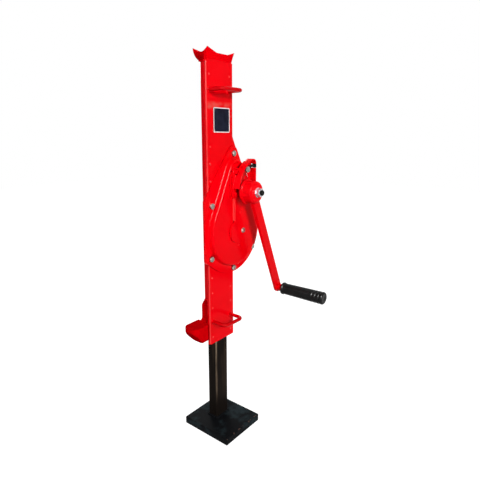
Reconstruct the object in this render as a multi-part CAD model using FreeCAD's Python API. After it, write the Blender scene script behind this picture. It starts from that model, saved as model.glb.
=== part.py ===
import FreeCAD, Part
import math
import os

from FreeCAD import Vector

# Rack-and-pinion hand jack: the rack stands on its base plate and the housing climbs it.
# Millimetres, +Z up. Origin: floor level under the axis of the rack.
# X runs along the wide face, the claw points to -X, the crank side faces -Y.

SAME_PLACE = 1e-4

# Rack and base
RACK_WIDTH = 45.0
RACK_DEPTH = 30.0
RACK_LENGTH = 682.0
RACK_CHAMFER = 2.0
BASE_LENGTH = 136.0
BASE_WIDTH = 150.0
BASE_THICKNESS = 20.0
BASE_SHIFT_X = -4.0
BASE_SHIFT_Y = -17.5
BASE_CHAMFER = 1.5
FOOT_WELD_LEG = 6.0
WELD_LIP = 0.2

# Housing of a flat front plate and a hat-section channel
HOUSING_BOTTOM = 250.0
HOUSING_LENGTH = 688.0
PLATE_WIDTH = 92.0
PLATE_SHIFT = -2.6
PLATE_THICKNESS = 3.0
PLATE_CORNER = 4.0
RACK_TO_PLATE = 1.0
CHANNEL_WALL = 4.5
CHANNEL_GAP_SIDE = 1.5
CHANNEL_GAP_BACK = 1.0
CHANNEL_CORNER = 7.0
CHANNEL_BEND = 3.0
GUIDE_CLEARANCE = 0.3
GUIDE_HEIGHT = 40.0
GUIDE_EDGE = 2.0
UPPER_GUIDE_BELOW_AXIS = 108.0
THRUST_PAD_HEIGHT = 80.0
THRUST_PAD_WIDTH = 24.0

# Gear train: drive pinion on the crank shaft, mid gear and pinion, main gear and rack pinion
PRESSURE_ANGLE = math.radians(20.0)
TOOTH_THINNING = 0.25
DEDENDUM_RATIO = 1.25
PINION_ADDENDUM_RATIO = 0.8
RACK_MODULE = 5.0
RACK_PINION_TEETH = 6
RACK_PINION_SHIFT_RATIO = 0.65
RACK_PINION_FACE = 26.0
MAIN_MODULE = 3.0
MAIN_GEAR_TEETH = 48
MAIN_GEAR_FACE = 13.8
MID_PINION_TEETH = 8
MID_PINION_SHIFT_RATIO = 0.55
DRIVE_MODULE = 2.5
MID_GEAR_TEETH = 18
MID_GEAR_FACE = 12.0
DRIVE_PINION_TEETH = 8
DRIVE_PINION_SHIFT_RATIO = 0.55
RACK_SPACES_BELOW = 15
RACK_SPACES_ABOVE = 9
MAIN_AXIS_RISE = 288.0
CRANK_AXIS_X = 45.0
CRANK_AXIS_RISE = 102.0
PINION_OVERLAP = 1.0
GEAR_SIDE_GAP = 1.2
MAIN_SHAFT_RADIUS = 10.0
MID_SHAFT_RADIUS = 7.0
CRANK_SHAFT_RADIUS = 8.0
BUSH_WALL = 3.0
BUSH_END_WALL = 2.0
SHAFT_END_GAP = 0.5
RUNNING_FIT = 0.05

# Gear cover, gear case and their fasteners
COVER_THICKNESS = 3.5
DOME_RADIUS = 90.0
DOME_HEIGHT = 14.5
DOME_DRAFT = 2.5
DOME_EDGE = 3.5
DOME_TOP_RADIUS = 30.0
DOME_TOP_X = 41.0
DOME_TOP_RISE = 150.0
FLANGE_RADIUS = 110.0
FLANGE_LEFT = -65.0
FLANGE_LEFT_DROP = 60.0
FLANGE_LEFT_RISE = 83.0
FLANGE_TOP_RADIUS = 18.0
FLANGE_CORNER = 8.0
FLANGE_SETBACK = 1.0
PAD_HEIGHT = 5.0
PAD_LEFT = 10.0
PAD_NECK_LEFT = 24.0
PAD_RIGHT = 86.0
PAD_LOW_RISE = 10.0
PAD_INSET = 1.0
BOSS_RADIUS = 28.0
SHAFT_HOLE_GAP = 4.0
BOLT_TOP_RISE = 193.0
BOLT_LEFT_X = -40.5
BOLT_LEFT_RISE = 72.0
BOLT_CIRCLE_RADIUS = 99.5
BOLT_LEFT_LOW_ANGLE = 216.0
BOLT_BOTTOM_ANGLE = 271.5
BOLT_RIGHT_LOW_ANGLE = 325.0
BOLT_RIGHT_HIGH_ANGLE = 32.0
BOLT_RADIUS = 4.0
BOLT_HOLE_GAP = 0.5
BOLT_HEAD_FLATS = 13.0
BOLT_HEAD_HEIGHT = 5.5
NUT_HEIGHT = 6.5
FLARE_TOP_RISE = 232.0
FLARE_CORNER = 6.0
OPENING_RADIUS = 77.0
OPENING_TOP_RADIUS = 38.0
CASE_RADIUS = 88.0
CASE_TOP_RADIUS = 44.0
CASE_WALL = 3.0
CASE_EDGE = 6.0
REAR_PLATE = 6.0
REAR_PLATE_MARGIN = 14.0
REAR_HOLE_GAP = 1.0
PLUG_OFFSET = 20.5
PLUG_FLATS = 9.0
PLUG_HEIGHT = 4.0
RIVET_RADIUS = 2.5
RIVET_HEAD_RADIUS = 4.5
RIVET_HEAD_HEIGHT = 2.0
RIVET_SHOULDER_SHARE = 0.75
RIVET_CROWN_SHARE = 0.4
RIVET_OFFSET = 10.0
RIVET_HIGH_RISE = 50.0
RIVET_LOW_DROP = 38.0

# Ratchet with its hood
HOOD_BOLT_SPREAD = 25.0
HOOD_BOLT_DROP = 7.0
HOOD_BOLT_TOP_LEFT = 23.5
HOOD_BOLT_TOP_RIGHT = 15.0
HOOD_BOLT_RISE = 48.0
HOOD_BOLT_RADIUS = 3.0
HOOD_BOLT_FLATS = 10.0
HOOD_BOLT_HEAD = 4.0
HOOD_BOLT_DEPTH = 4.5
HOOD_FLANGE = 5.0
HOOD_FLANGE_CORNER = 9.0
HOOD_FLOOR = 3.0
HOOD_WALL = 3.5
HOOD_DEPTH = 19.0
FIN_CENTRE_ASIDE = 41.0
FIN_CENTRE_RISE = 8.0
FIN_RADIUS = 73.0
FIN_BACK_ANGLE = math.radians(135.0)
FIN_WIDTH_RIGHT = 34.0
FIN_KNOB_WIDTH = 13.0
FIN_KNOB_DROP = 11.0
FIN_KNOB_ROUND_SHARE = 0.75
FIN_GAP_RISE = 56.0
FIN_GAP_HEIGHT = 10.0
CRANK_BOSS_RADIUS = 15.0
CRANK_BOSS_HEIGHT = 2.5
RATCHET_TEETH = 12
RATCHET_TIP_RADIUS = 21.0
RATCHET_ROOT_RADIUS = 17.5
RATCHET_FACE = 7.0
COLLAR_RADIUS = 15.0
COLLAR_THICKNESS = 2.0
DISC_RADIUS = 16.0
DISC_THICKNESS = 1.5
AXIAL_GAP = 0.3
PAWL_PIVOT_ASIDE = 1.5
PAWL_PIVOT_RISE = 53.5
PAWL_ANGLE = math.radians(150.0)
PAWL_TOE_RADIUS = 18.3
PAWL_TOE_WIDTH = 5.5
PAWL_TOE_GAP = 0.4
PAWL_BELLY_OUT = 22.5
PAWL_BELLY_ALONG = 16.0
PAWL_SPINE_OUT = 30.5
PAWL_SPINE_ALONG = 20.0
PAWL_HUB_RADIUS = 8.0
PAWL_TAIL_LENGTH = 33.0
PAWL_TAIL_ROOT = 7.0
PAWL_TAIL_THICKNESS = 4.0
PAWL_TAIL_TOP_GAP = 1.0
PAWL_FACE_SETBACK = 0.7
PAWL_PIN_RADIUS = 5.0
PAWL_HEAD_FLATS = 14.0
PAWL_HEAD_HEIGHT = 5.6
PAWL_POST_RADIUS = 7.0
SPRING_WIRE = 0.9
SPRING_LEG = 21.0
SPRING_LEFT_LEAN = math.radians(29.0)
SPRING_RIGHT_LEAN = math.radians(17.0)

# Crank
HUB_RADIUS = 27.0
HUB_FLANGE_RADIUS = 31.0
HUB_FLANGE = 5.4
HUB_LENGTH = 32.4
HUB_EDGE = 7.0
HUB_RUN_GAP = 1.5
ARM_WIDTH = 25.0
ARM_THICKNESS = 9.0
ARM_FROM_HUB_FRONT = 10.0
CRANK_RADIUS = 300.0
CRANK_ANGLE = math.radians(23.0)
WASHER_THICKNESS = 2.5
WASHER_RADIUS = 11.5
CRANK_THREAD_RADIUS = 6.0
CRANK_NUT_FLATS = 19.0
CRANK_NUT_HEIGHT = 10.0
SHAFT_STICKOUT = 4.0
SPINDLE_COLLAR_RADIUS = 10.0
SPINDLE_COLLAR_LENGTH = 14.0
SPINDLE_TENON_RADIUS = 8.0
SPINDLE_RADIUS = 6.0
GRIP_LENGTH = 127.0
GRIP_RING_RADIUS = 16.6
GRIP_RING_WIDTH = 6.0
GRIP_NECK_RADIUS = 14.0
GRIP_END_RADIUS = 16.3
GRIP_GROOVES = 3
GRIP_GROOVE_PITCH = 7.5
GRIP_GROOVE_WIDTH = 2.6
GRIP_GROOVE_DEPTH = 1.2
GRIP_GROOVES_FROM_END = 7.0
GRIP_END_ROUND = 4.0
GRIP_RECESS_RADIUS = 9.0
GRIP_RECESS_DEPTH = 9.0
GRIP_CAP_THICKNESS = 2.5
GRIP_CAP_DISH_RADIUS = 5.5
GRIP_CAP_DISH_DEPTH = 0.8
GRIP_NUT_FLATS = 13.0
GRIP_NUT_HEIGHT = 4.0

# Head, claw, handles and nameplate
HEAD_HEIGHT = 27.0
HEAD_FOOT_LEFT = -30.0
HEAD_FOOT_RIGHT = 41.0
HEAD_FOOT_HEIGHT = 2.5
HEAD_LEFT = -46.0
HEAD_RIGHT = 48.0
HEAD_BOWL_DROP = 2.0
HEAD_BOWL_X = -39.5
HEAD_BOWL_RISE = 9.0
HEAD_SADDLE = 17.0
HEAD_FLAT_LEFT = -12.0
HEAD_FLAT_RIGHT = 30.0
HEAD_RIGHT_DROP = 3.0
HEAD_TIP_DEPTH = 22.5
HEAD_FLARE_SHARE = 0.25
CLAW_TIP = -98.0
CLAW_FRONT = -15.5
CLAW_BACK = 29.5
CLAW_TOP_RISE = 56.0
CLAW_NOSE_RISE = 43.0
CLAW_ROOT_RISE = 4.0
CLAW_KEEL_LENGTH = 35.0
CLAW_BELLY = 20.0
CLAW_LEG_THICKNESS = 12.0
CLAW_LEG_RISE = 112.0
CLAW_LEG_FRONT = -8.0
CLAW_LEG_BACK = 18.0
CLAW_FILLET = 10.0
CLAW_EDGE = 5.0
CLAW_NOSE_EDGE = 6.0
CLAW_KEEL_EDGE = 16.0
CLAW_CORNER = 16.0
CLAW_PLATE_GAP = 1.0
CLAW_WELD_LEG = 4.0
HANDLE_LEFT = -38.0
HANDLE_RIGHT = 28.0
HANDLE_REACH = 42.5
HANDLE_ROD = 4.5
HANDLE_BEND = 12.0
HANDLE_WELD = 2.5
UPPER_HANDLE_DROP = 63.0
LOWER_HANDLE_RISE = 61.0
NAMEPLATE_LEFT = -26.0
NAMEPLATE_WIDTH = 57.0
NAMEPLATE_LOW_SHARE = 0.25
NAMEPLATE_HIGH_SHARE = 0.7
NAMEPLATE_THICKNESS = 1.0
NAMEPLATE_CORNER = 3.0
NAMEPLATE_RIVET_INSET = 4.0
NAMEPLATE_RIVET_RADIUS = 1.6
NAMEPLATE_RIVET_HEIGHT = 1.2

# Places that follow from the sizes above
RACK_TOP = BASE_THICKNESS + RACK_LENGTH
HOUSING_TOP = HOUSING_BOTTOM + HOUSING_LENGTH
UPPER_HANDLE_Z = HOUSING_TOP - UPPER_HANDLE_DROP
LOWER_HANDLE_Z = HOUSING_BOTTOM + LOWER_HANDLE_RISE
NAMEPLATE_X = (NAMEPLATE_LEFT, NAMEPLATE_LEFT + NAMEPLATE_WIDTH)
MAIN_AXIS_Z = HOUSING_BOTTOM + MAIN_AXIS_RISE
MAIN_AXIS = (
    RACK_WIDTH / 2 + RACK_MODULE * (RACK_PINION_TEETH / 2 + RACK_PINION_SHIFT_RATIO - 1),
    MAIN_AXIS_Z)
CRANK_AXIS = (CRANK_AXIS_X, MAIN_AXIS_Z + CRANK_AXIS_RISE)
DOME_TOP_CENTRE = (DOME_TOP_X, MAIN_AXIS_Z + DOME_TOP_RISE)
BOLT_TOP = (DOME_TOP_X, MAIN_AXIS_Z + BOLT_TOP_RISE)
COVER_TOP = BOLT_TOP[1] + FLANGE_TOP_RADIUS
NAMEPLATE_ROOM = UPPER_HANDLE_Z - COVER_TOP
NAMEPLATE_Z = (
    COVER_TOP + NAMEPLATE_ROOM * NAMEPLATE_LOW_SHARE,
    COVER_TOP + NAMEPLATE_ROOM * NAMEPLATE_HIGH_SHARE)
BOLT_LEFT_HIGH = (BOLT_LEFT_X, MAIN_AXIS_Z + BOLT_LEFT_RISE)
RIVET_HIGH = (MAIN_AXIS[0] + RIVET_OFFSET, MAIN_AXIS_Z + RIVET_HIGH_RISE)
RIVET_LOW = (MAIN_AXIS[0] + RIVET_OFFSET, MAIN_AXIS_Z - RIVET_LOW_DROP)
HOOD_BOLT_LOW_Z = CRANK_AXIS[1] - HOOD_BOLT_DROP
HOOD_BOLT_HIGH_Z = CRANK_AXIS[1] + HOOD_BOLT_RISE
HOOD_BOLTS = (
    (CRANK_AXIS_X - HOOD_BOLT_SPREAD, HOOD_BOLT_LOW_Z),
    (CRANK_AXIS_X + HOOD_BOLT_SPREAD, HOOD_BOLT_LOW_Z),
    (CRANK_AXIS_X + HOOD_BOLT_TOP_RIGHT, HOOD_BOLT_HIGH_Z),
    (CRANK_AXIS_X - HOOD_BOLT_TOP_LEFT, HOOD_BOLT_HIGH_Z),
)
FIN_CENTRE = (CRANK_AXIS_X + FIN_CENTRE_ASIDE, CRANK_AXIS[1] + FIN_CENTRE_RISE)
FIN_RIGHT = CRANK_AXIS_X + FIN_WIDTH_RIGHT
FIN_KNOB_LEFT = FIN_RIGHT - FIN_KNOB_WIDTH
FIN_GAP = (CRANK_AXIS[1] + FIN_GAP_RISE, CRANK_AXIS[1] + FIN_GAP_RISE + FIN_GAP_HEIGHT)
PAWL_PIVOT = (CRANK_AXIS_X + PAWL_PIVOT_ASIDE, CRANK_AXIS[1] + PAWL_PIVOT_RISE)
PLATE_LEFT = PLATE_SHIFT - PLATE_WIDTH / 2
PLATE_RIGHT = PLATE_SHIFT + PLATE_WIDTH / 2
PLATE_BACK_Y = -RACK_DEPTH / 2 - RACK_TO_PLATE
PLATE_FRONT_Y = PLATE_BACK_Y - PLATE_THICKNESS
CHANNEL_INNER = RACK_WIDTH / 2 + CHANNEL_GAP_SIDE
CHANNEL_OUTER = CHANNEL_INNER + CHANNEL_WALL
CHANNEL_BACK_IN = RACK_DEPTH / 2 + CHANNEL_GAP_BACK
CHANNEL_BACK_OUT = CHANNEL_BACK_IN + CHANNEL_WALL
CHANNEL_FLANGE_BACK = PLATE_BACK_Y + CHANNEL_WALL
COVER_FLANGE_Y = PLATE_FRONT_Y - COVER_THICKNESS
DOME_Y = COVER_FLANGE_Y - DOME_HEIGHT
DOME_INNER_Y = DOME_Y + COVER_THICKNESS
PAD_Y = DOME_Y - PAD_HEIGHT
FRONT_BUSH_END = PAD_Y + BUSH_END_WALL
REAR_PLATE_Y = CHANNEL_BACK_OUT + REAR_PLATE
HOOD_FLANGE_Y = PAD_Y - HOOD_FLANGE
HOOD_FLOOR_Y = HOOD_FLANGE_Y - HOOD_FLOOR
HOOD_RIM_Y = HOOD_FLANGE_Y - HOOD_DEPTH
CRANK_BOSS_Y = HOOD_FLANGE_Y - CRANK_BOSS_HEIGHT
COLLAR_BACK_Y = CRANK_BOSS_Y - SHAFT_END_GAP
COLLAR_FRONT_Y = COLLAR_BACK_Y - COLLAR_THICKNESS
RATCHET_BACK_Y = COLLAR_FRONT_Y - AXIAL_GAP - DISC_THICKNESS
RATCHET_FRONT_Y = RATCHET_BACK_Y - RATCHET_FACE
HUB_BACK_Y = RATCHET_FRONT_Y - DISC_THICKNESS - AXIAL_GAP
HUB_FRONT_Y = HUB_BACK_Y - HUB_LENGTH
PAWL_BACK_Y = RATCHET_BACK_Y - PAWL_FACE_SETBACK
PAWL_FRONT_Y = RATCHET_FRONT_Y + PAWL_FACE_SETBACK
ARM_FRONT_Y = HUB_FRONT_Y + ARM_FROM_HUB_FRONT
ARM_BACK_Y = ARM_FRONT_Y + ARM_THICKNESS
WASHER_FRONT_Y = HUB_FRONT_Y - WASHER_THICKNESS
CRANK_NUT_FRONT_Y = WASHER_FRONT_Y - CRANK_NUT_HEIGHT
GRIP_BACK_Y = ARM_FRONT_Y - SPINDLE_COLLAR_LENGTH - AXIAL_GAP
GRIP_FRONT_Y = GRIP_BACK_Y - GRIP_LENGTH
GRIP_AXIS = (
    CRANK_AXIS[0] + CRANK_RADIUS * math.sin(CRANK_ANGLE),
    CRANK_AXIS[1] - CRANK_RADIUS * math.cos(CRANK_ANGLE))


# Points, outlines and simple solids


def spot(x, z):
    return Vector(x, 0, z)


def polar(centre, radius, angle):
    return spot(centre[0] + radius * math.cos(angle), centre[1] + radius * math.sin(angle))


def line(start, end):
    return Part.LineSegment(start, end).toShape()


def arc(start, middle, end):
    return Part.Arc(start, middle, end).toShape()


def polygon(points):
    return Part.makePolygon(points + points[:1])


def rounded_wire(corners):
    """Closed wire through corner points, each given with the radius that rounds it."""
    count = len(corners)
    stops = []
    for i, (point, radius) in enumerate(corners):
        way_in = (point - corners[i - 1][0]).normalize()
        way_out = (corners[(i + 1) % count][0] - point).normalize()
        half_turn = way_in.getAngle(way_out) / 2
        if radius == 0:
            stops.append((point, None, point))
            continue
        cut = radius * math.tan(half_turn)
        inward = (way_out - way_in).normalize()
        middle = point + inward * (radius / math.cos(half_turn) - radius)
        stops.append((point - way_in * cut, middle, point + way_out * cut))
    edges = []
    for i, (start, middle, end) in enumerate(stops):
        if middle is not None:
            edges.append(arc(start, middle, end))
        edges.append(line(end, stops[(i + 1) % count][0]))
    return Part.Wire(edges)


def belt_wire(circles):
    """Belt round circles (centre, radius) that are listed counter-clockwise in the front view."""
    count = len(circles)
    angles = []
    for i, (centre, radius) in enumerate(circles):
        after, after_radius = circles[(i + 1) % count]
        run = spot(*after) - spot(*centre)
        lean = math.asin((radius - after_radius) / run.Length)
        angles.append(math.atan2(run.z, run.x) - math.pi / 2 + lean)
    edges = []
    for i, (centre, radius) in enumerate(circles):
        start = angles[i - 1]
        sweep = (angles[i] - start) % (2 * math.pi)
        rim = [polar(centre, radius, start + sweep * part) for part in (0, 0.5, 1)]
        after, after_radius = circles[(i + 1) % count]
        edges.append(arc(*rim))
        edges.append(line(rim[2], polar(after, after_radius, angles[i])))
    return Part.Wire(edges)


def placed(wire, y):
    moved = wire.copy()
    moved.translate(Vector(0, y, 0))
    return moved


def prism(wire, y_from, y_to):
    return Part.Face(placed(wire, y_from)).extrude(Vector(0, y_to - y_from, 0))


def box(x, y, z):
    return Part.makeBox(x[1] - x[0], y[1] - y[0], z[1] - z[0], Vector(x[0], y[0], z[0]))


def rod(centre, radius, y_from, y_to):
    start = Vector(centre[0], min(y_from, y_to), centre[1])
    return Part.makeCylinder(radius, abs(y_to - y_from), start, Vector(0, 1, 0))


def ring(centre, outer, inner, y_from, y_to):
    return rod(centre, outer, y_from, y_to).cut(rod(centre, inner, y_from, y_to))


def hexagon(centre, flats, y_from, y_to):
    corner = flats / math.sqrt(3)
    corners = [polar(centre, corner, math.radians(30 + 60 * i)) for i in range(6)]
    return prism(polygon(corners), y_from, y_to)


def turned(centre, profile):
    """Solid of revolution about an axis along Y, from (radius, y) points."""
    points = [Vector(centre[0] + radius, y, centre[1]) for radius, y in profile]
    return Part.Face(polygon(points)).revolve(Vector(centre[0], 0, centre[1]), Vector(0, 1, 0), 360)


def edges_at_y(shape, y):
    return [e for e in shape.Edges if all(abs(v.Y - y) < SAME_PLACE for v in e.Vertexes)]


def joined(shapes):
    return shapes[0].multiFuse(shapes[1:]).removeSplitter()


# Gear teeth and shaft places


def involute(angle):
    return math.tan(angle) - angle


def working_distance(module, teeth, shift):
    """Centre distance of two gears whose profile shifts add up to the given value."""
    target = involute(PRESSURE_ANGLE) + 2 * math.tan(PRESSURE_ANGLE) * shift / teeth
    angle = PRESSURE_ANGLE
    for _ in range(20):
        angle -= (involute(angle) - target) / math.tan(angle) ** 2
    return module * teeth / 2 * math.cos(PRESSURE_ANGLE) / math.cos(angle)


def gear_wire(centre, module, teeth, shift, addendum, phase):
    """Involute outline with one tooth centred on the phase angle."""
    pitch_radius = module * teeth / 2
    base = pitch_radius * math.cos(PRESSURE_ANGLE)
    tip = pitch_radius + module * (addendum + shift)
    root = pitch_radius - module * (DEDENDUM_RATIO - shift)
    start = max(base, root)
    middle = (start + tip) / 2
    thickness = module * (math.pi / 2 + 2 * shift * math.tan(PRESSURE_ANGLE)) - TOOTH_THINNING
    step = 2 * math.pi / teeth

    def half_angle(radius):
        lean = involute(PRESSURE_ANGLE) - involute(math.acos(min(1, base / radius)))
        return thickness / 2 / pitch_radius + lean

    foot = half_angle(start)
    edges = []
    for k in range(teeth):
        axis = phase + k * step
        rise = [polar(centre, r, axis - half_angle(r)) for r in (start, middle, tip)]
        fall = [polar(centre, r, axis + half_angle(r)) for r in (tip, middle, start)]
        valley = [polar(centre, root, axis + a) for a in (foot, step / 2, step - foot)]
        if start > root:
            edges.append(line(polar(centre, root, axis - foot), rise[0]))
        edges += [arc(*rise), arc(rise[2], polar(centre, tip, axis), fall[0]), arc(*fall)]
        if start > root:
            edges.append(line(fall[2], valley[0]))
        edges.append(arc(*valley))
    return Part.Wire(edges)


def bearing(start, end):
    return math.atan2(end[1] - start[1], end[0] - start[0])


def mid_axis():
    """The mid shaft lies to the right of the line from the main shaft to the crank shaft."""
    to_main = working_distance(MAIN_MODULE, MAIN_GEAR_TEETH + MID_PINION_TEETH, 0)
    to_crank = working_distance(DRIVE_MODULE, MID_GEAR_TEETH + DRIVE_PINION_TEETH, DRIVE_PINION_SHIFT_RATIO)
    run = spot(*CRANK_AXIS) - spot(*MAIN_AXIS)
    along = (to_main ** 2 - to_crank ** 2 + run.Length ** 2) / 2 / run.Length
    aside = math.sqrt(to_main ** 2 - along ** 2)
    run.normalize()
    place = spot(*MAIN_AXIS) + run * along + Vector(run.z, 0, -run.x) * aside
    return (place.x, place.z)


MID_AXIS = mid_axis()
MAIN_GEAR_BACK_Y = PLATE_BACK_Y - GEAR_SIDE_GAP
MAIN_GEAR_FRONT_Y = MAIN_GEAR_BACK_Y - MAIN_GEAR_FACE
MID_GEAR_FRONT_Y = MAIN_GEAR_BACK_Y + PINION_OVERLAP + MAIN_MODULE
MID_GEAR_BACK_Y = MID_GEAR_FRONT_Y + MID_GEAR_FACE
SHAFTS = (
    (MAIN_AXIS, MAIN_SHAFT_RADIUS),
    (MID_AXIS, MID_SHAFT_RADIUS),
    (CRANK_AXIS, CRANK_SHAFT_RADIUS),
)


# Stand


def rack_bar():
    bar = box(
        (-RACK_WIDTH / 2, RACK_WIDTH / 2),
        (-RACK_DEPTH / 2, RACK_DEPTH / 2),
        (BASE_THICKNESS, RACK_TOP))
    corners = [e for e in bar.Edges if e.Vertexes[0].Z != e.Vertexes[1].Z]
    return bar.makeChamfer(RACK_CHAMFER, corners)


def rack():
    pitch = math.pi * RACK_MODULE
    slope = math.tan(PRESSURE_ANGLE)
    root_x = RACK_WIDTH / 2 - RACK_MODULE * (1 + DEDENDUM_RATIO)
    mouth_x = RACK_WIDTH / 2 + RACK_MODULE
    half_datum = pitch / 4 + TOOTH_THINNING / 2
    half_floor = half_datum - RACK_MODULE * DEDENDUM_RATIO * slope
    half_mouth = half_datum + RACK_MODULE * 2 * slope
    spaces = []
    for k in range(-RACK_SPACES_BELOW, RACK_SPACES_ABOVE + 1):
        z = MAIN_AXIS_Z + k * pitch
        wedge = polygon([
            spot(root_x, z - half_floor),
            spot(mouth_x, z - half_mouth),
            spot(mouth_x, z + half_mouth),
            spot(root_x, z + half_floor),
        ])
        spaces.append(prism(wedge, -RACK_DEPTH, RACK_DEPTH))
    return rack_bar().cut(spaces)


def base_plate():
    plate = box(
        (BASE_SHIFT_X - BASE_LENGTH / 2, BASE_SHIFT_X + BASE_LENGTH / 2),
        (BASE_SHIFT_Y - BASE_WIDTH / 2, BASE_SHIFT_Y + BASE_WIDTH / 2),
        (0, BASE_THICKNESS))
    return plate.makeChamfer(BASE_CHAMFER, plate.Edges)


def foot_weld():
    rims = []
    for grow, rise in ((FOOT_WELD_LEG, 0), (WELD_LIP, FOOT_WELD_LEG)):
        x = RACK_WIDTH / 2 + grow
        y = RACK_DEPTH / 2 + grow
        z = BASE_THICKNESS + rise
        rims.append(polygon([Vector(x, y, z), Vector(-x, y, z), Vector(-x, -y, z), Vector(x, -y, z)]))
    return Part.makeLoft(rims, True, True).cut(rack_bar())


# Housing shell


def flange_wire(inset):
    corner_x = FLANGE_LEFT + FLANGE_CORNER
    return belt_wire([
        (MAIN_AXIS, FLANGE_RADIUS - inset),
        (BOLT_TOP, FLANGE_TOP_RADIUS - inset),
        ((corner_x, MAIN_AXIS_Z + FLANGE_LEFT_RISE), FLANGE_CORNER - inset),
        ((corner_x, MAIN_AXIS_Z - FLANGE_LEFT_DROP), FLANGE_CORNER - inset),
    ])


def cover_bolt_places():
    """Bolt centres with the face that each nut sits on."""
    places = [(BOLT_TOP, CHANNEL_FLANGE_BACK), (BOLT_LEFT_HIGH, CHANNEL_FLANGE_BACK)]
    for angle, seat in (
            (BOLT_LEFT_LOW_ANGLE, CHANNEL_FLANGE_BACK),
            (BOLT_BOTTOM_ANGLE, CHANNEL_FLANGE_BACK),
            (BOLT_RIGHT_LOW_ANGLE, PLATE_BACK_Y),
            (BOLT_RIGHT_HIGH_ANGLE, PLATE_BACK_Y)):
        place = polar(MAIN_AXIS, BOLT_CIRCLE_RADIUS, math.radians(angle))
        places.append(((place.x, place.z), seat))
    return places


def cover_bolt_holes():
    return [rod(place, BOLT_RADIUS + BOLT_HOLE_GAP, DOME_Y, 0) for place, seat in cover_bolt_places()]


def front_plate():
    strip = rounded_wire([
        (spot(PLATE_LEFT, HOUSING_BOTTOM), PLATE_CORNER),
        (spot(PLATE_RIGHT, HOUSING_BOTTOM), PLATE_CORNER),
        (spot(PLATE_RIGHT, HOUSING_TOP), 0),
        (spot(PLATE_LEFT, HOUSING_TOP), 0),
    ])
    flare = prism(belt_wire([
        (MAIN_AXIS, FLANGE_RADIUS - FLANGE_SETBACK),
        ((PLATE_RIGHT - FLARE_CORNER, MAIN_AXIS_Z + FLARE_TOP_RISE), FLARE_CORNER),
    ]), PLATE_FRONT_Y, PLATE_BACK_Y)
    reach = MAIN_AXIS[0] + FLANGE_RADIUS
    right_half = box((0, reach), (PLATE_FRONT_Y, PLATE_BACK_Y), (HOUSING_BOTTOM, HOUSING_TOP))
    opening = belt_wire([(MAIN_AXIS, OPENING_RADIUS), (CRANK_AXIS, OPENING_TOP_RADIUS)])
    plate = joined([
        prism(strip, PLATE_FRONT_Y, PLATE_BACK_Y),
        prism(flange_wire(FLANGE_SETBACK), PLATE_FRONT_Y, PLATE_BACK_Y),
        flare.common(right_half),
    ])
    return plate.cut([prism(opening, COVER_FLANGE_Y, 0)] + cover_bolt_holes())


def case_wire(inset):
    return belt_wire([(MAIN_AXIS, CASE_RADIUS - inset), (CRANK_AXIS, CASE_TOP_RADIUS - inset)])


def case_block(inset, y_to):
    """The room of the gears beside the rack, as a solid."""
    block = prism(case_wire(inset), PLATE_BACK_Y, y_to)
    reach = MAIN_AXIS[0] + CASE_RADIUS
    beside_rack = box((CHANNEL_INNER, reach), (PLATE_BACK_Y, y_to), (HOUSING_BOTTOM, HOUSING_TOP))
    return block.common(beside_rack)


def rear_shaft_holes():
    return [
        rod(axis, radius + RUNNING_FIT + BUSH_WALL + REAR_HOLE_GAP, 0, REAR_PLATE_Y)
        for axis, radius in SHAFTS]


def housing_channel():
    right = [
        (Vector(PLATE_RIGHT, PLATE_BACK_Y, 0), 0),
        (Vector(PLATE_RIGHT, CHANNEL_FLANGE_BACK, 0), 0),
        (Vector(CHANNEL_OUTER, CHANNEL_FLANGE_BACK, 0), CHANNEL_BEND),
        (Vector(CHANNEL_OUTER, CHANNEL_BACK_OUT, 0), CHANNEL_CORNER),
    ]
    left = [
        (Vector(-CHANNEL_OUTER, CHANNEL_BACK_OUT, 0), CHANNEL_CORNER),
        (Vector(-CHANNEL_OUTER, CHANNEL_FLANGE_BACK, 0), CHANNEL_BEND),
        (Vector(PLATE_LEFT, CHANNEL_FLANGE_BACK, 0), 0),
        (Vector(PLATE_LEFT, PLATE_BACK_Y, 0), 0),
    ]
    inner_corner = CHANNEL_CORNER - CHANNEL_WALL
    inside = [
        (Vector(-CHANNEL_INNER, PLATE_BACK_Y, 0), 0),
        (Vector(-CHANNEL_INNER, CHANNEL_BACK_IN, 0), inner_corner),
        (Vector(CHANNEL_INNER, CHANNEL_BACK_IN, 0), inner_corner),
        (Vector(CHANNEL_INNER, PLATE_BACK_Y, 0), 0),
    ]
    face = Part.Face(rounded_wire(right + left + inside))
    face.translate(Vector(0, 0, HOUSING_BOTTOM))
    channel = face.extrude(Vector(0, 0, HOUSING_LENGTH))
    cuts = [case_block(0, CHANNEL_BACK_OUT)] + cover_bolt_holes() + rear_shaft_holes()
    return channel.cut(cuts)


def gear_case():
    outer = case_block(0, CHANNEL_BACK_OUT)
    rear_rim = [
        e for e in edges_at_y(outer, CHANNEL_BACK_OUT)
        if max(v.X for v in e.Vertexes) > CHANNEL_INNER + CASE_EDGE]
    outer = outer.makeFillet(CASE_EDGE, rear_rim)
    inner = case_block(CASE_WALL, CHANNEL_BACK_OUT - CASE_WALL)
    return outer.cut([inner] + rear_shaft_holes())


def rear_bearing_plate():
    rounds = [(axis, radius + BUSH_WALL + REAR_PLATE_MARGIN) for axis, radius in SHAFTS]
    plate = prism(belt_wire(rounds), CHANNEL_BACK_OUT, REAR_PLATE_Y)
    holes = [rod(axis, radius + RUNNING_FIT + BUSH_WALL, 0, REAR_PLATE_Y) for axis, radius in SHAFTS]
    return plate.cut(holes)


def bush(axis, radius, y_from, y_to):
    bore = radius + RUNNING_FIT
    return ring(axis, bore + BUSH_WALL, bore, y_from, y_to)


# Gear cover


def dome_wire(inset):
    return belt_wire([(MAIN_AXIS, DOME_RADIUS - inset), (DOME_TOP_CENTRE, DOME_TOP_RADIUS - inset)])


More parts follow.
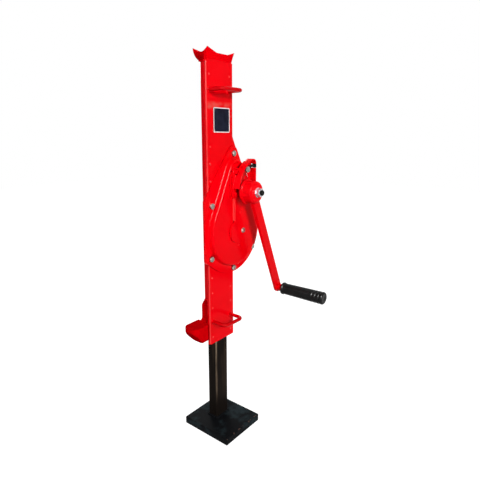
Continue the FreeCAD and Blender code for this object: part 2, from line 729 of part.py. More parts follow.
def dome(inset, y_from, y_to):
    rims = [placed(dome_wire(inset), y_from), placed(dome_wire(inset + DOME_DRAFT), y_to)]
    return Part.makeLoft(rims, True, True)


def gear_cover():
    shell = dome(0, PLATE_FRONT_Y, DOME_Y)
    shell = shell.makeFillet(DOME_EDGE, edges_at_y(shell, DOME_Y))
    pad_low = MAIN_AXIS_Z + PAD_LOW_RISE
    pad_step = HOOD_BOLT_LOW_Z - HOOD_FLANGE_CORNER
    pad = joined([
        box((PAD_NECK_LEFT, PAD_RIGHT), (PAD_Y, DOME_Y), (pad_low, BOLT_TOP[1])),
        box((PAD_LEFT, PAD_RIGHT), (PAD_Y, DOME_Y), (pad_step, BOLT_TOP[1])),
    ])
    pad = pad.common(prism(dome_wire(DOME_DRAFT + DOME_EDGE + PAD_INSET), PAD_Y, DOME_Y))
    solid = joined([
        prism(flange_wire(0), PLATE_FRONT_Y, COVER_FLANGE_Y),
        shell,
        pad,
        rod(MAIN_AXIS, BOSS_RADIUS, DOME_Y, PAD_Y),
    ])
    cuts = [dome(COVER_THICKNESS, PLATE_FRONT_Y, DOME_INNER_Y)] + cover_bolt_holes()
    for axis, radius in SHAFTS[:2]:
        cuts.append(rod(axis, radius + RUNNING_FIT + BUSH_WALL, DOME_INNER_Y, FRONT_BUSH_END))
    cuts.append(rod(CRANK_AXIS, CRANK_SHAFT_RADIUS + SHAFT_HOLE_GAP, DOME_INNER_Y, PAD_Y))
    for place in HOOD_BOLTS:
        cuts.append(rod(place, HOOD_BOLT_RADIUS, PAD_Y, PAD_Y + HOOD_BOLT_DEPTH))
    cuts.append(rod(RIVET_HIGH, RIVET_RADIUS, DOME_INNER_Y, PAD_Y))
    cuts.append(rod(RIVET_LOW, RIVET_RADIUS, DOME_INNER_Y, DOME_Y))
    return solid.cut(cuts)


def cover_bolts():
    bolts = []
    for place, seat in cover_bolt_places():
        head = hexagon(place, BOLT_HEAD_FLATS, COVER_FLANGE_Y, COVER_FLANGE_Y - BOLT_HEAD_HEIGHT)
        bolts.append(joined([head, rod(place, BOLT_RADIUS, COVER_FLANGE_Y, seat + NUT_HEIGHT)]))
    return Part.makeCompound(bolts)


def weld_nuts():
    nuts = []
    for place, seat in cover_bolt_places():
        nut = hexagon(place, BOLT_HEAD_FLATS, seat, seat + NUT_HEIGHT)
        nuts.append(nut.cut(rod(place, BOLT_RADIUS, seat, seat + NUT_HEIGHT)))
    return Part.makeCompound(nuts)


def grease_plug():
    place = (MAIN_AXIS[0] + PLUG_OFFSET, MAIN_AXIS[1])
    return hexagon(place, PLUG_FLATS, PAD_Y, PAD_Y - PLUG_HEIGHT)


def button_rivet(place, face_y, radius, head_radius, head_height, end_y):
    head = turned(place, [
        (0, face_y),
        (head_radius, face_y),
        (head_radius * RIVET_SHOULDER_SHARE, face_y - head_height * RIVET_SHOULDER_SHARE),
        (head_radius * RIVET_CROWN_SHARE, face_y - head_height),
        (0, face_y - head_height),
    ])
    return joined([head, rod(place, radius, face_y, end_y)])


def bearing_rivets():
    sizes = (RIVET_RADIUS, RIVET_HEAD_RADIUS, RIVET_HEAD_HEIGHT, DOME_INNER_Y)
    return Part.makeCompound([
        button_rivet(RIVET_HIGH, PAD_Y, *sizes),
        button_rivet(RIVET_LOW, DOME_Y, *sizes),
    ])


# Shafts and gears


def rack_pinion():
    teeth = gear_wire(
        MAIN_AXIS, RACK_MODULE, RACK_PINION_TEETH, RACK_PINION_SHIFT_RATIO, PINION_ADDENDUM_RATIO, math.pi)
    return joined([
        prism(teeth, -RACK_PINION_FACE / 2, RACK_PINION_FACE / 2),
        rod(MAIN_AXIS, MAIN_SHAFT_RADIUS, FRONT_BUSH_END + SHAFT_END_GAP, REAR_PLATE_Y),
    ])


def main_gear():
    phase = bearing(MAIN_AXIS, MID_AXIS)
    teeth = gear_wire(MAIN_AXIS, MAIN_MODULE, MAIN_GEAR_TEETH, -MID_PINION_SHIFT_RATIO, 1, phase)
    gear = prism(teeth, MAIN_GEAR_FRONT_Y, MAIN_GEAR_BACK_Y)
    return gear.cut(rod(MAIN_AXIS, MAIN_SHAFT_RADIUS, MAIN_GEAR_FRONT_Y, MAIN_GEAR_BACK_Y))


def mid_pinion():
    phase = bearing(MID_AXIS, MAIN_AXIS) + math.pi / MID_PINION_TEETH
    teeth = gear_wire(
        MID_AXIS, MAIN_MODULE, MID_PINION_TEETH, MID_PINION_SHIFT_RATIO, PINION_ADDENDUM_RATIO, phase)
    return joined([
        prism(teeth, MAIN_GEAR_FRONT_Y - PINION_OVERLAP, MAIN_GEAR_BACK_Y + PINION_OVERLAP),
        rod(MID_AXIS, MID_SHAFT_RADIUS, FRONT_BUSH_END + SHAFT_END_GAP, REAR_PLATE_Y),
    ])


def mid_gear():
    phase = bearing(MID_AXIS, CRANK_AXIS)
    teeth = gear_wire(MID_AXIS, DRIVE_MODULE, MID_GEAR_TEETH, 0, 1, phase)
    gear = prism(teeth, MID_GEAR_FRONT_Y, MID_GEAR_BACK_Y)
    return gear.cut(rod(MID_AXIS, MID_SHAFT_RADIUS, MID_GEAR_FRONT_Y, MID_GEAR_BACK_Y))


def drive_pinion():
    phase = bearing(CRANK_AXIS, MID_AXIS) + math.pi / DRIVE_PINION_TEETH
    teeth = gear_wire(
        CRANK_AXIS, DRIVE_MODULE, DRIVE_PINION_TEETH,
        DRIVE_PINION_SHIFT_RATIO, PINION_ADDENDUM_RATIO, phase)
    return joined([
        prism(teeth, MID_GEAR_FRONT_Y - PINION_OVERLAP, MID_GEAR_BACK_Y + PINION_OVERLAP),
        rod(CRANK_AXIS, CRANK_SHAFT_RADIUS, HUB_FRONT_Y, REAR_PLATE_Y),
        rod(CRANK_AXIS, CRANK_THREAD_RADIUS, CRANK_NUT_FRONT_Y - SHAFT_STICKOUT, HUB_FRONT_Y),
        rod(CRANK_AXIS, COLLAR_RADIUS, COLLAR_BACK_Y, COLLAR_FRONT_Y),
    ])


# Guides round the rack


def guide_ring(z_low):
    outer = box(
        (-CHANNEL_INNER, CHANNEL_INNER),
        (PLATE_BACK_Y, CHANNEL_BACK_IN),
        (z_low, z_low + GUIDE_HEIGHT))
    corners = [e for e in outer.Edges if e.Vertexes[0].Z != e.Vertexes[1].Z]
    back = [e for e in corners if e.Vertexes[0].Y > 0]
    outer = outer.makeFillet(CHANNEL_CORNER - CHANNEL_WALL, back)
    half_x = RACK_WIDTH / 2 + GUIDE_CLEARANCE
    half_y = RACK_DEPTH / 2 + GUIDE_CLEARANCE
    hole = box((-half_x, half_x), (-half_y, half_y), (z_low, z_low + GUIDE_HEIGHT))
    inside = [e for e in hole.Edges if e.Vertexes[0].Z != e.Vertexes[1].Z]
    return outer.cut(hole.makeChamfer(GUIDE_EDGE, inside))


def thrust_pad():
    return box(
        (-CHANNEL_INNER, -RACK_WIDTH / 2 - GUIDE_CLEARANCE),
        (-THRUST_PAD_WIDTH / 2, THRUST_PAD_WIDTH / 2),
        (MAIN_AXIS_Z - THRUST_PAD_HEIGHT / 2, MAIN_AXIS_Z + THRUST_PAD_HEIGHT / 2))


# Ratchet and hood


def fin_wire(inset):
    radius = FIN_RADIUS - inset
    low = FIN_CENTRE[1] + inset
    right = FIN_RIGHT - inset

    def edge_point(x):
        return spot(x, FIN_CENTRE[1] + math.sqrt(radius ** 2 - (FIN_CENTRE[0] - x) ** 2))

    foot = spot(FIN_CENTRE[0] - math.sqrt(radius ** 2 - inset ** 2), low)
    knob = edge_point(FIN_KNOB_LEFT)
    knob_low = spot(right, knob.z - FIN_KNOB_DROP)
    bulge = spot(
        knob.x + (right - knob.x) * FIN_KNOB_ROUND_SHARE,
        knob_low.z + (knob.z - knob_low.z) * FIN_KNOB_ROUND_SHARE)
    return Part.Wire([
        arc(foot, polar(FIN_CENTRE, radius, FIN_BACK_ANGLE), knob),
        arc(knob, bulge, knob_low),
        line(knob_low, spot(right, low)),
        line(spot(right, low), foot),
    ])


def ratchet_housing():
    flange = prism(belt_wire([
        (place, HOOD_FLANGE_CORNER) for place in HOOD_BOLTS]), PAD_Y, HOOD_FLANGE_Y)
    walls = prism(fin_wire(0), HOOD_FLANGE_Y, HOOD_RIM_Y)
    walls = walls.cut(prism(fin_wire(HOOD_WALL), HOOD_FLOOR_Y, HOOD_RIM_Y))
    open_foot = box(
        (FIN_CENTRE[0] - FIN_RADIUS + HOOD_WALL, FIN_RIGHT - HOOD_WALL),
        (HOOD_RIM_Y, HOOD_FLOOR_Y),
        (FIN_CENTRE[1], FIN_CENTRE[1] + HOOD_WALL))
    side_gap = box((FIN_KNOB_LEFT, FIN_RIGHT), (HOOD_RIM_Y, HOOD_FLOOR_Y), FIN_GAP)
    hub_room = rod(CRANK_AXIS, HUB_FLANGE_RADIUS + HUB_RUN_GAP, HUB_BACK_Y + HUB_RUN_GAP, HOOD_RIM_Y)
    wheel_room = rod(CRANK_AXIS, RATCHET_TIP_RADIUS + HUB_RUN_GAP, CRANK_BOSS_Y, HOOD_RIM_Y)
    walls = walls.cut([open_foot, side_gap, hub_room, wheel_room])
    solid = joined([
        flange,
        walls,
        rod(CRANK_AXIS, CRANK_BOSS_RADIUS, HOOD_FLANGE_Y, CRANK_BOSS_Y),
    ])
    cuts = [
        rod(CRANK_AXIS, CRANK_SHAFT_RADIUS + RUNNING_FIT + BUSH_WALL, PAD_Y, HOOD_RIM_Y),
        rod(PAWL_PIVOT, PAWL_PIN_RADIUS, PAD_Y, HOOD_RIM_Y),
    ]
    for place in HOOD_BOLTS:
        cuts.append(rod(place, HOOD_BOLT_RADIUS, PAD_Y, HOOD_RIM_Y))
        head_room = HOOD_FLANGE_Y - HOOD_BOLT_HEAD - AXIAL_GAP
        cuts.append(rod(place, HOOD_BOLT_FLATS / 2 + HUB_RUN_GAP, HOOD_FLANGE_Y, head_room))
    return solid.cut(cuts)


def housing_bolts():
    bolts = []
    for place in HOOD_BOLTS:
        head = hexagon(place, HOOD_BOLT_FLATS, HOOD_FLANGE_Y, HOOD_FLANGE_Y - HOOD_BOLT_HEAD)
        bolts.append(joined([head, rod(place, HOOD_BOLT_RADIUS, HOOD_FLANGE_Y, PAD_Y + HOOD_BOLT_DEPTH)]))
    return Part.makeCompound(bolts)


def ratchet_wheel():
    step = 2 * math.pi / RATCHET_TEETH
    points = []
    for k in range(RATCHET_TEETH):
        angle = PAWL_ANGLE + k * step
        points.append(polar(CRANK_AXIS, RATCHET_ROOT_RADIUS, angle))
        points.append(polar(CRANK_AXIS, RATCHET_TIP_RADIUS, angle))
    wheel = prism(polygon(points), RATCHET_BACK_Y, RATCHET_FRONT_Y)
    return wheel.cut(rod(CRANK_AXIS, CRANK_SHAFT_RADIUS + RUNNING_FIT, RATCHET_BACK_Y, RATCHET_FRONT_Y))


def brake_discs():
    bore = CRANK_SHAFT_RADIUS + RUNNING_FIT
    return Part.makeCompound([
        ring(CRANK_AXIS, DISC_RADIUS, bore, RATCHET_BACK_Y + DISC_THICKNESS, RATCHET_BACK_Y),
        ring(CRANK_AXIS, DISC_RADIUS, bore, RATCHET_FRONT_Y, RATCHET_FRONT_Y - DISC_THICKNESS),
    ])


def pawl_spot(outward, along):
    """Point given outward from the ratchet axis and along the push of the tooth."""
    return polar((0, 0), outward, PAWL_ANGLE) + polar(CRANK_AXIS, along, PAWL_ANGLE - math.pi / 2)


def pawl():
    pivot = spot(*PAWL_PIVOT)
    outward = polar((0, 0), 1, PAWL_ANGLE)
    toe_in = pawl_spot(PAWL_TOE_RADIUS, PAWL_TOE_GAP)
    toe_out = pawl_spot(PAWL_TOE_RADIUS + PAWL_TOE_WIDTH, PAWL_TOE_GAP)
    hub_in = pivot - outward * PAWL_HUB_RADIUS
    hub_out = pivot + outward * PAWL_HUB_RADIUS
    arm = Part.Wire([
        line(toe_out, toe_in),
        arc(toe_in, pawl_spot(PAWL_BELLY_OUT, PAWL_BELLY_ALONG), hub_in),
        line(hub_in, hub_out),
        arc(hub_out, pawl_spot(PAWL_SPINE_OUT, PAWL_SPINE_ALONG), toe_out),
    ])
    tail_tip = spot(PAWL_PIVOT[0] + PAWL_TAIL_LENGTH, FIN_GAP[1] - PAWL_TAIL_TOP_GAP)
    tail = polygon([
        pivot + spot(0, PAWL_TAIL_ROOT),
        tail_tip,
        tail_tip - spot(0, PAWL_TAIL_THICKNESS),
        pivot + spot(PAWL_TAIL_ROOT, 0),
    ])
    body = joined([
        prism(tail, PAWL_BACK_Y, PAWL_FRONT_Y),
        prism(arm, PAWL_BACK_Y, PAWL_FRONT_Y),
        rod(PAWL_PIVOT, PAWL_HUB_RADIUS, PAWL_BACK_Y, PAWL_FRONT_Y),
    ])
    return body.cut(rod(PAWL_PIVOT, PAWL_PIN_RADIUS + RUNNING_FIT, PAWL_BACK_Y, PAWL_FRONT_Y))


def pawl_bolt():
    head_back = PAWL_FRONT_Y - AXIAL_GAP
    return joined([
        hexagon(PAWL_PIVOT, PAWL_HEAD_FLATS, head_back, head_back - PAWL_HEAD_HEIGHT),
        rod(PAWL_PIVOT, PAWL_PIN_RADIUS, head_back, PAD_Y),
    ])


def pawl_spring():
    y = (HOOD_FLOOR_Y + PAWL_BACK_Y) / 2
    pivot = Vector(PAWL_PIVOT[0], y, PAWL_PIVOT[1])
    coil = Part.makeTorus(PAWL_POST_RADIUS, SPRING_WIRE, pivot, Vector(0, 1, 0))
    legs = []
    for side, lean in ((-1, SPRING_LEFT_LEAN), (1, SPRING_RIGHT_LEAN)):
        way = Vector(side * math.sin(lean), 0, -math.cos(lean))
        start = pivot + Vector(side * PAWL_POST_RADIUS, 0, 0)
        legs.append(Part.makeCylinder(SPRING_WIRE, SPRING_LEG, start, way))
    return joined([coil] + legs)


# Crank


def crank_hub():
    flange_front = HUB_BACK_Y - HUB_FLANGE
    hub = joined([
        rod(CRANK_AXIS, HUB_FLANGE_RADIUS, HUB_BACK_Y, flange_front),
        rod(CRANK_AXIS, HUB_RADIUS, flange_front, HUB_FRONT_Y),
    ])
    hub = hub.makeFillet(HUB_EDGE, edges_at_y(hub, HUB_FRONT_Y))
    return hub.cut(rod(CRANK_AXIS, CRANK_SHAFT_RADIUS, HUB_BACK_Y, HUB_FRONT_Y))


def crank_arm():
    ends = [(GRIP_AXIS, ARM_WIDTH / 2), (CRANK_AXIS, ARM_WIDTH / 2)]
    bar = prism(belt_wire(ends), ARM_BACK_Y, ARM_FRONT_Y)
    return bar.cut([
        rod(CRANK_AXIS, HUB_RADIUS, ARM_BACK_Y, ARM_FRONT_Y),
        rod(GRIP_AXIS, SPINDLE_TENON_RADIUS, ARM_BACK_Y, ARM_FRONT_Y),
    ])


def crank_washer():
    return ring(CRANK_AXIS, WASHER_RADIUS, CRANK_THREAD_RADIUS, HUB_FRONT_Y, WASHER_FRONT_Y)


def crank_nut():
    nut = hexagon(CRANK_AXIS, CRANK_NUT_FLATS, WASHER_FRONT_Y, CRANK_NUT_FRONT_Y)
    return nut.cut(rod(CRANK_AXIS, CRANK_THREAD_RADIUS, WASHER_FRONT_Y, CRANK_NUT_FRONT_Y))


def grip_spindle():
    collar_front = ARM_FRONT_Y - SPINDLE_COLLAR_LENGTH
    nut_seat = GRIP_FRONT_Y + GRIP_RECESS_DEPTH - AXIAL_GAP
    return joined([
        rod(GRIP_AXIS, SPINDLE_TENON_RADIUS, ARM_BACK_Y, ARM_FRONT_Y),
        rod(GRIP_AXIS, SPINDLE_COLLAR_RADIUS, ARM_FRONT_Y, collar_front),
        rod(GRIP_AXIS, SPINDLE_RADIUS, collar_front, nut_seat - GRIP_NUT_HEIGHT),
    ])


def grip_nut():
    seat = GRIP_FRONT_Y + GRIP_RECESS_DEPTH - AXIAL_GAP
    nut = hexagon(GRIP_AXIS, GRIP_NUT_FLATS, seat, seat - GRIP_NUT_HEIGHT)
    return nut.cut(rod(GRIP_AXIS, SPINDLE_RADIUS, seat, seat - GRIP_NUT_HEIGHT))


def grip():
    ring_front = GRIP_BACK_Y - GRIP_RING_WIDTH
    body_back = ring_front - GRIP_RING_WIDTH / 2
    bore = SPINDLE_RADIUS + RUNNING_FIT
    body = turned(GRIP_AXIS, [
        (bore, GRIP_BACK_Y),
        (GRIP_RING_RADIUS, GRIP_BACK_Y),
        (GRIP_RING_RADIUS, ring_front),
        (GRIP_NECK_RADIUS, body_back),
        (GRIP_END_RADIUS, GRIP_FRONT_Y),
        (GRIP_RECESS_RADIUS, GRIP_FRONT_Y),
        (GRIP_RECESS_RADIUS, GRIP_FRONT_Y + GRIP_RECESS_DEPTH),
        (bore, GRIP_FRONT_Y + GRIP_RECESS_DEPTH),
    ])
    outer_rim = [e for e in edges_at_y(body, GRIP_FRONT_Y) if e.Curve.Radius > GRIP_NECK_RADIUS]
    body = body.makeFillet(GRIP_END_ROUND, outer_rim)
    grooves = []
    for k in range(GRIP_GROOVES):
        y = GRIP_FRONT_Y + GRIP_GROOVES_FROM_END + k * GRIP_GROOVE_PITCH
        slope = (GRIP_END_RADIUS - GRIP_NECK_RADIUS) / (body_back - GRIP_FRONT_Y)
        bottom = GRIP_END_RADIUS - slope * (y - GRIP_FRONT_Y) - GRIP_GROOVE_DEPTH
        grooves.append(ring(GRIP_AXIS, GRIP_RING_RADIUS, bottom, y, y + GRIP_GROOVE_WIDTH))
    return body.cut(grooves)


def grip_cap():
    back = GRIP_FRONT_Y + GRIP_CAP_THICKNESS
    cap = rod(GRIP_AXIS, GRIP_RECESS_RADIUS, back, GRIP_FRONT_Y)
    return cap.cut(rod(GRIP_AXIS, GRIP_CAP_DISH_RADIUS, GRIP_FRONT_Y + GRIP_CAP_DISH_DEPTH, GRIP_FRONT_Y))


# Head, claw, handles and nameplate


def jack_head():
    tip = HOUSING_TOP + HEAD_HEIGHT
    saddle = HOUSING_TOP + HEAD_SADDLE
    foot = HOUSING_TOP + HEAD_FOOT_HEIGHT
    side_left = spot(HEAD_LEFT, tip - HEAD_BOWL_DROP)
    crown = [
        line(spot(HEAD_FOOT_RIGHT, HOUSING_TOP), spot(HEAD_FOOT_RIGHT, foot)),
        line(spot(HEAD_FOOT_RIGHT, foot), spot(HEAD_RIGHT, tip - HEAD_RIGHT_DROP)),
        line(spot(HEAD_RIGHT, tip - HEAD_RIGHT_DROP), spot(HEAD_FLAT_RIGHT, saddle)),
        line(spot(HEAD_FLAT_RIGHT, saddle), spot(HEAD_FLAT_LEFT, saddle)),
        line(spot(HEAD_FLAT_LEFT, saddle), spot(HEAD_LEFT, tip)),
        line(spot(HEAD_LEFT, tip), side_left),
    ]
    over_channel = Part.Wire(crown + [
        arc(side_left, spot(HEAD_BOWL_X, HOUSING_TOP + HEAD_BOWL_RISE), spot(HEAD_FOOT_LEFT, foot)),
        line(spot(HEAD_FOOT_LEFT, foot), spot(HEAD_FOOT_LEFT, HOUSING_TOP)),
        line(spot(HEAD_FOOT_LEFT, HOUSING_TOP), spot(HEAD_FOOT_RIGHT, HOUSING_TOP)),
    ])
    over_plate = Part.Wire(crown + [
        line(side_left, spot(HEAD_LEFT, HOUSING_TOP)),
        line(spot(HEAD_LEFT, HOUSING_TOP), spot(HEAD_FOOT_RIGHT, HOUSING_TOP)),
    ])
    blank = joined([
        prism(over_channel, -HEAD_TIP_DEPTH, HEAD_TIP_DEPTH),
        prism(over_plate, -HEAD_TIP_DEPTH, CHANNEL_FLANGE_BACK),
    ])

    def end_spot(y, z):
        return Vector(0, y, z)

    flare_y = PLATE_FRONT_Y - (HEAD_TIP_DEPTH + PLATE_FRONT_Y) * HEAD_FLARE_SHARE
    end = Part.Wire([
        line(end_spot(PLATE_FRONT_Y, HOUSING_TOP), end_spot(CHANNEL_BACK_OUT, HOUSING_TOP)),
        line(end_spot(CHANNEL_BACK_OUT, HOUSING_TOP), end_spot(HEAD_TIP_DEPTH, tip)),
        arc(end_spot(HEAD_TIP_DEPTH, tip), end_spot(0, saddle), end_spot(-HEAD_TIP_DEPTH, tip)),
        arc(
            end_spot(-HEAD_TIP_DEPTH, tip),
            end_spot(flare_y, HOUSING_TOP + HEAD_HEIGHT / 2),
            end_spot(PLATE_FRONT_Y, HOUSING_TOP)),
    ])
    face = Part.Face(end)
    face.translate(Vector(HEAD_LEFT, 0, 0))
    crosswise = face.extrude(Vector(HEAD_RIGHT - HEAD_LEFT, 0, 0))
    return blank.common(crosswise)


def claw():
    wall = -CHANNEL_OUTER
    leg = wall - CLAW_LEG_THICKNESS
    root = HOUSING_BOTTOM + CLAW_ROOT_RISE
    top = HOUSING_BOTTOM + CLAW_TOP_RISE
    nose = HOUSING_BOTTOM + CLAW_NOSE_RISE
    peak = HOUSING_BOTTOM + CLAW_LEG_RISE
    side = rounded_wire([
        (spot(wall, root), 0),
        (spot(wall, top), 0),
        (spot(CLAW_TIP, top), CLAW_EDGE),
        (spot(CLAW_TIP, nose), CLAW_NOSE_EDGE),
        (spot(wall - CLAW_KEEL_LENGTH, root), CLAW_KEEL_EDGE),
    ])
    past_plate = PLATE_LEFT - CLAW_PLATE_GAP
    plan = rounded_wire([
        (Vector(wall, CLAW_LEG_FRONT, root), 0),
        (Vector(past_plate, CLAW_LEG_FRONT, root), 0),
        (Vector(past_plate, CLAW_FRONT, root), 0),
        (Vector(CLAW_TIP, CLAW_FRONT, root), CLAW_CORNER),
        (Vector(CLAW_TIP, CLAW_BACK, root), CLAW_CORNER),
        (Vector(leg, CLAW_BACK, root), 0),
        (Vector(leg, CLAW_LEG_BACK, root), 0),
        (Vector(wall, CLAW_LEG_BACK, root), 0),
    ])
    upright = Part.Face(plan).extrude(Vector(0, 0, CLAW_LEG_RISE))
    end = rounded_wire([
        (Vector(CLAW_TIP, CLAW_FRONT, root), CLAW_BELLY),
        (Vector(CLAW_TIP, CLAW_BACK, root), CLAW_BELLY),
        (Vector(CLAW_TIP, CLAW_BACK, peak), 0),
        (Vector(CLAW_TIP, CLAW_FRONT, peak), 0),
    ])
    lengthwise = Part.Face(end).extrude(Vector(wall - CLAW_TIP, 0, 0))
    toe = prism(side, CLAW_FRONT, CLAW_BACK).common(upright).common(lengthwise)
    seat_end = leg - 2 * CLAW_FILLET
    leg_side = rounded_wire([
        (spot(wall, nose), 0),
        (spot(wall, peak), 0),
        (spot(leg, peak - CLAW_LEG_THICKNESS), CLAW_EDGE),
        (spot(leg, top), CLAW_FILLET),
        (spot(seat_end, top), 0),
        (spot(seat_end, nose), 0),
    ])
    return joined([toe, prism(leg_side, CLAW_LEG_FRONT, CLAW_LEG_BACK)])


def claw_welds():
    wall = -CHANNEL_OUTER
    beads = []
    for z, way in ((HOUSING_BOTTOM + CLAW_LEG_RISE, 1), (HOUSING_BOTTOM + CLAW_ROOT_RISE, -1)):
        bead = polygon([
            spot(wall, z),
            spot(wall, z + way * CLAW_WELD_LEG),
            spot(wall - CLAW_WELD_LEG, z - CLAW_WELD_LEG * (way + 1) / 2),
        ])
        beads.append(prism(bead, CLAW_LEG_FRONT, CHANNEL_BACK_OUT - CHANNEL_CORNER))
    return Part.makeCompound(beads)


def handle(z):
    foot = PLATE_FRONT_Y
    front = foot - HANDLE_REACH
    near = foot - HANDLE_REACH + HANDLE_BEND
    slack = HANDLE_BEND * (1 - math.sqrt(0.5))
    left_in = HANDLE_LEFT + HANDLE_BEND
    right_in = HANDLE_RIGHT - HANDLE_BEND
    path = Part.Wire([
        line(Vector(HANDLE_LEFT, foot, z), Vector(HANDLE_LEFT, near, z)),
        arc(
            Vector(HANDLE_LEFT, near, z),
            Vector(HANDLE_LEFT + slack, front + slack, z),
            Vector(left_in, front, z)),
        line(Vector(left_in, front, z), Vector(right_in, front, z)),
        arc(
            Vector(right_in, front, z),
            Vector(HANDLE_RIGHT - slack, front + slack, z),
            Vector(HANDLE_RIGHT, near, z)),
        line(Vector(HANDLE_RIGHT, near, z), Vector(HANDLE_RIGHT, foot, z)),
    ])
    circle = Part.makeCircle(HANDLE_ROD, Vector(HANDLE_LEFT, foot, z), Vector(0, 1, 0))
    return path.makePipeShell([Part.Wire(circle)], True, True)


def handle_welds():
    welds = []
    for z in (UPPER_HANDLE_Z, LOWER_HANDLE_Z):
        for x in (HANDLE_LEFT, HANDLE_RIGHT):
            welds.append(turned((x, z), [
                (HANDLE_ROD, PLATE_FRONT_Y),
                (HANDLE_ROD + HANDLE_WELD, PLATE_FRONT_Y),
                (HANDLE_ROD, PLATE_FRONT_Y - HANDLE_WELD),
            ]))
    return Part.makeCompound(welds)


def nameplate():
    corners = [spot(x, z) for x, z in (
        (NAMEPLATE_X[0], NAMEPLATE_Z[0]),
        (NAMEPLATE_X[1], NAMEPLATE_Z[0]),
        (NAMEPLATE_X[1], NAMEPLATE_Z[1]),
        (NAMEPLATE_X[0], NAMEPLATE_Z[1]))]
    outline = rounded_wire([(corner, NAMEPLATE_CORNER) for corner in corners])
    return prism(outline, PLATE_FRONT_Y, PLATE_FRONT_Y - NAMEPLATE_THICKNESS)


def nameplate_rivets():
    face = PLATE_FRONT_Y - NAMEPLATE_THICKNESS
    inset = NAMEPLATE_RIVET_INSET
    rivets = []
    for x in (NAMEPLATE_X[0] + inset, NAMEPLATE_X[1] - inset):
        for z in (NAMEPLATE_Z[0] + inset, NAMEPLATE_Z[1] - inset):
            rivets.append(rod((x, z), NAMEPLATE_RIVET_RADIUS, face, face - NAMEPLATE_RIVET_HEIGHT))
    return Part.makeCompound(rivets)


# The whole jack, one file for each piece

PIECES = {
    "base_plate": base_plate(),
    "rack": rack(),
    "foot_weld": foot_weld(),
    "front_plate": front_plate(),
    "housing_channel": housing_channel(),
    "gear_case": gear_case(),
    "rear_bearing_plate": rear_bearing_plate(),
    "gear_cover": gear_cover(),
    "cover_bolts": cover_bolts(),
    "weld_nuts": weld_nuts(),
    "grease_plug": grease_plug(),
    "bearing_rivets": bearing_rivets(),
    "main_front_bush": bush(MAIN_AXIS, MAIN_SHAFT_RADIUS, DOME_INNER_Y, FRONT_BUSH_END),
    "main_rear_bush": bush(MAIN_AXIS, MAIN_SHAFT_RADIUS, CHANNEL_BACK_OUT, REAR_PLATE_Y),
    "mid_front_bush": bush(MID_AXIS, MID_SHAFT_RADIUS, DOME_INNER_Y, FRONT_BUSH_END),
    "mid_rear_bush": bush(MID_AXIS, MID_SHAFT_RADIUS, CHANNEL_BACK_OUT, REAR_PLATE_Y),
    "crank_front_bush": bush(CRANK_AXIS, CRANK_SHAFT_RADIUS, PAD_Y, CRANK_BOSS_Y),
    "crank_rear_bush": bush(CRANK_AXIS, CRANK_SHAFT_RADIUS, CHANNEL_BACK_OUT, REAR_PLATE_Y),
    "rack_pinion": rack_pinion(),
    "main_gear": main_gear(),
    "mid_pinion": mid_pinion(),
    "mid_gear": mid_gear(),
    "drive_pinion": drive_pinion(),
    "lower_guide": guide_ring(HOUSING_BOTTOM + GUIDE_EDGE),
    "upper_guide": guide_ring(MAIN_AXIS_Z - UPPER_GUIDE_BELOW_AXIS - GUIDE_HEIGHT),
    "thrust_pad": thrust_pad(),
    "ratchet_housing": ratchet_housing(),
    "housing_bolts": housing_bolts(),
    "ratchet_wheel": ratchet_wheel(),
    "brake_discs": brake_discs(),
    "pawl": pawl(),
    "pawl_bolt": pawl_bolt(),
    "pawl_spring": pawl_spring(),
    "crank_hub": crank_hub(),
    "crank_arm": crank_arm(),
    "crank_washer": crank_washer(),
    "crank_nut": crank_nut(),
    "grip_spindle": grip_spindle(),
    "grip": grip(),
    "grip_cap": grip_cap(),
    "grip_nut": grip_nut(),
    "jack_head": jack_head(),
    "claw": claw(),
    "claw_welds": claw_welds(),
    "upper_handle": handle(UPPER_HANDLE_Z),
    "lower_handle": handle(LOWER_HANDLE_Z),
    "handle_welds": handle_welds(),
    "nameplate": nameplate(),
    "nameplate_rivets": nameplate_rivets(),
}

os.makedirs("parts", exist_ok=True)
for node, shape in PIECES.items():
    shape.exportStep(os.path.join("parts", node + ".step"))
    print(node, len(shape.Solids), "solid, valid", shape.isValid(), "volume", round(shape.Volume))
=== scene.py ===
import math

import bpy
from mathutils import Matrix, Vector


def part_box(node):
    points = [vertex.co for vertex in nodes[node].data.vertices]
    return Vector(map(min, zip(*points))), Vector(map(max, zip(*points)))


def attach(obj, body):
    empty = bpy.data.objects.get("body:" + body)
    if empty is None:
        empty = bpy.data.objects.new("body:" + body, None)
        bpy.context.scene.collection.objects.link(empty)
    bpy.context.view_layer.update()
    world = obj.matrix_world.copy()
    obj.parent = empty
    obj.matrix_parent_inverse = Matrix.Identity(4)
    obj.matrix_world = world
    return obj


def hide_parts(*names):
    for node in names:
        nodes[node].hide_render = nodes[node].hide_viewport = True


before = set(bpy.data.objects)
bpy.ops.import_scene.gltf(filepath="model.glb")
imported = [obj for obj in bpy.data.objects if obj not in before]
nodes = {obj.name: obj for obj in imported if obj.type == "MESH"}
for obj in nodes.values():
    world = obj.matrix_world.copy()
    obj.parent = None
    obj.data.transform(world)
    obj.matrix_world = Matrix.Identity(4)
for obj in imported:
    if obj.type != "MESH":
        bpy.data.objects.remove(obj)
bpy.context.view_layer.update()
mm = 0.001
mergeGap = 0.01 * mm
sharpAngle = math.radians(30)
smoothAngle = math.radians(40)
facing = 0.99  # a normal this near to an axis counts as facing along it
alongY = (math.pi / 2, 0, 0)  # lays the axis of a new shape along Y
noiseSpan = (0.3, 0.7)  # where most values of a noise lie
print("frame loaded,", len(nodes), "nodes")


# picking things and finishing them

def selectOnly(*objs):
    bpy.ops.object.select_all(action="DESELECT")
    for obj in objs:
        obj.select_set(True)
    if objs:
        bpy.context.view_layer.objects.active = objs[0]


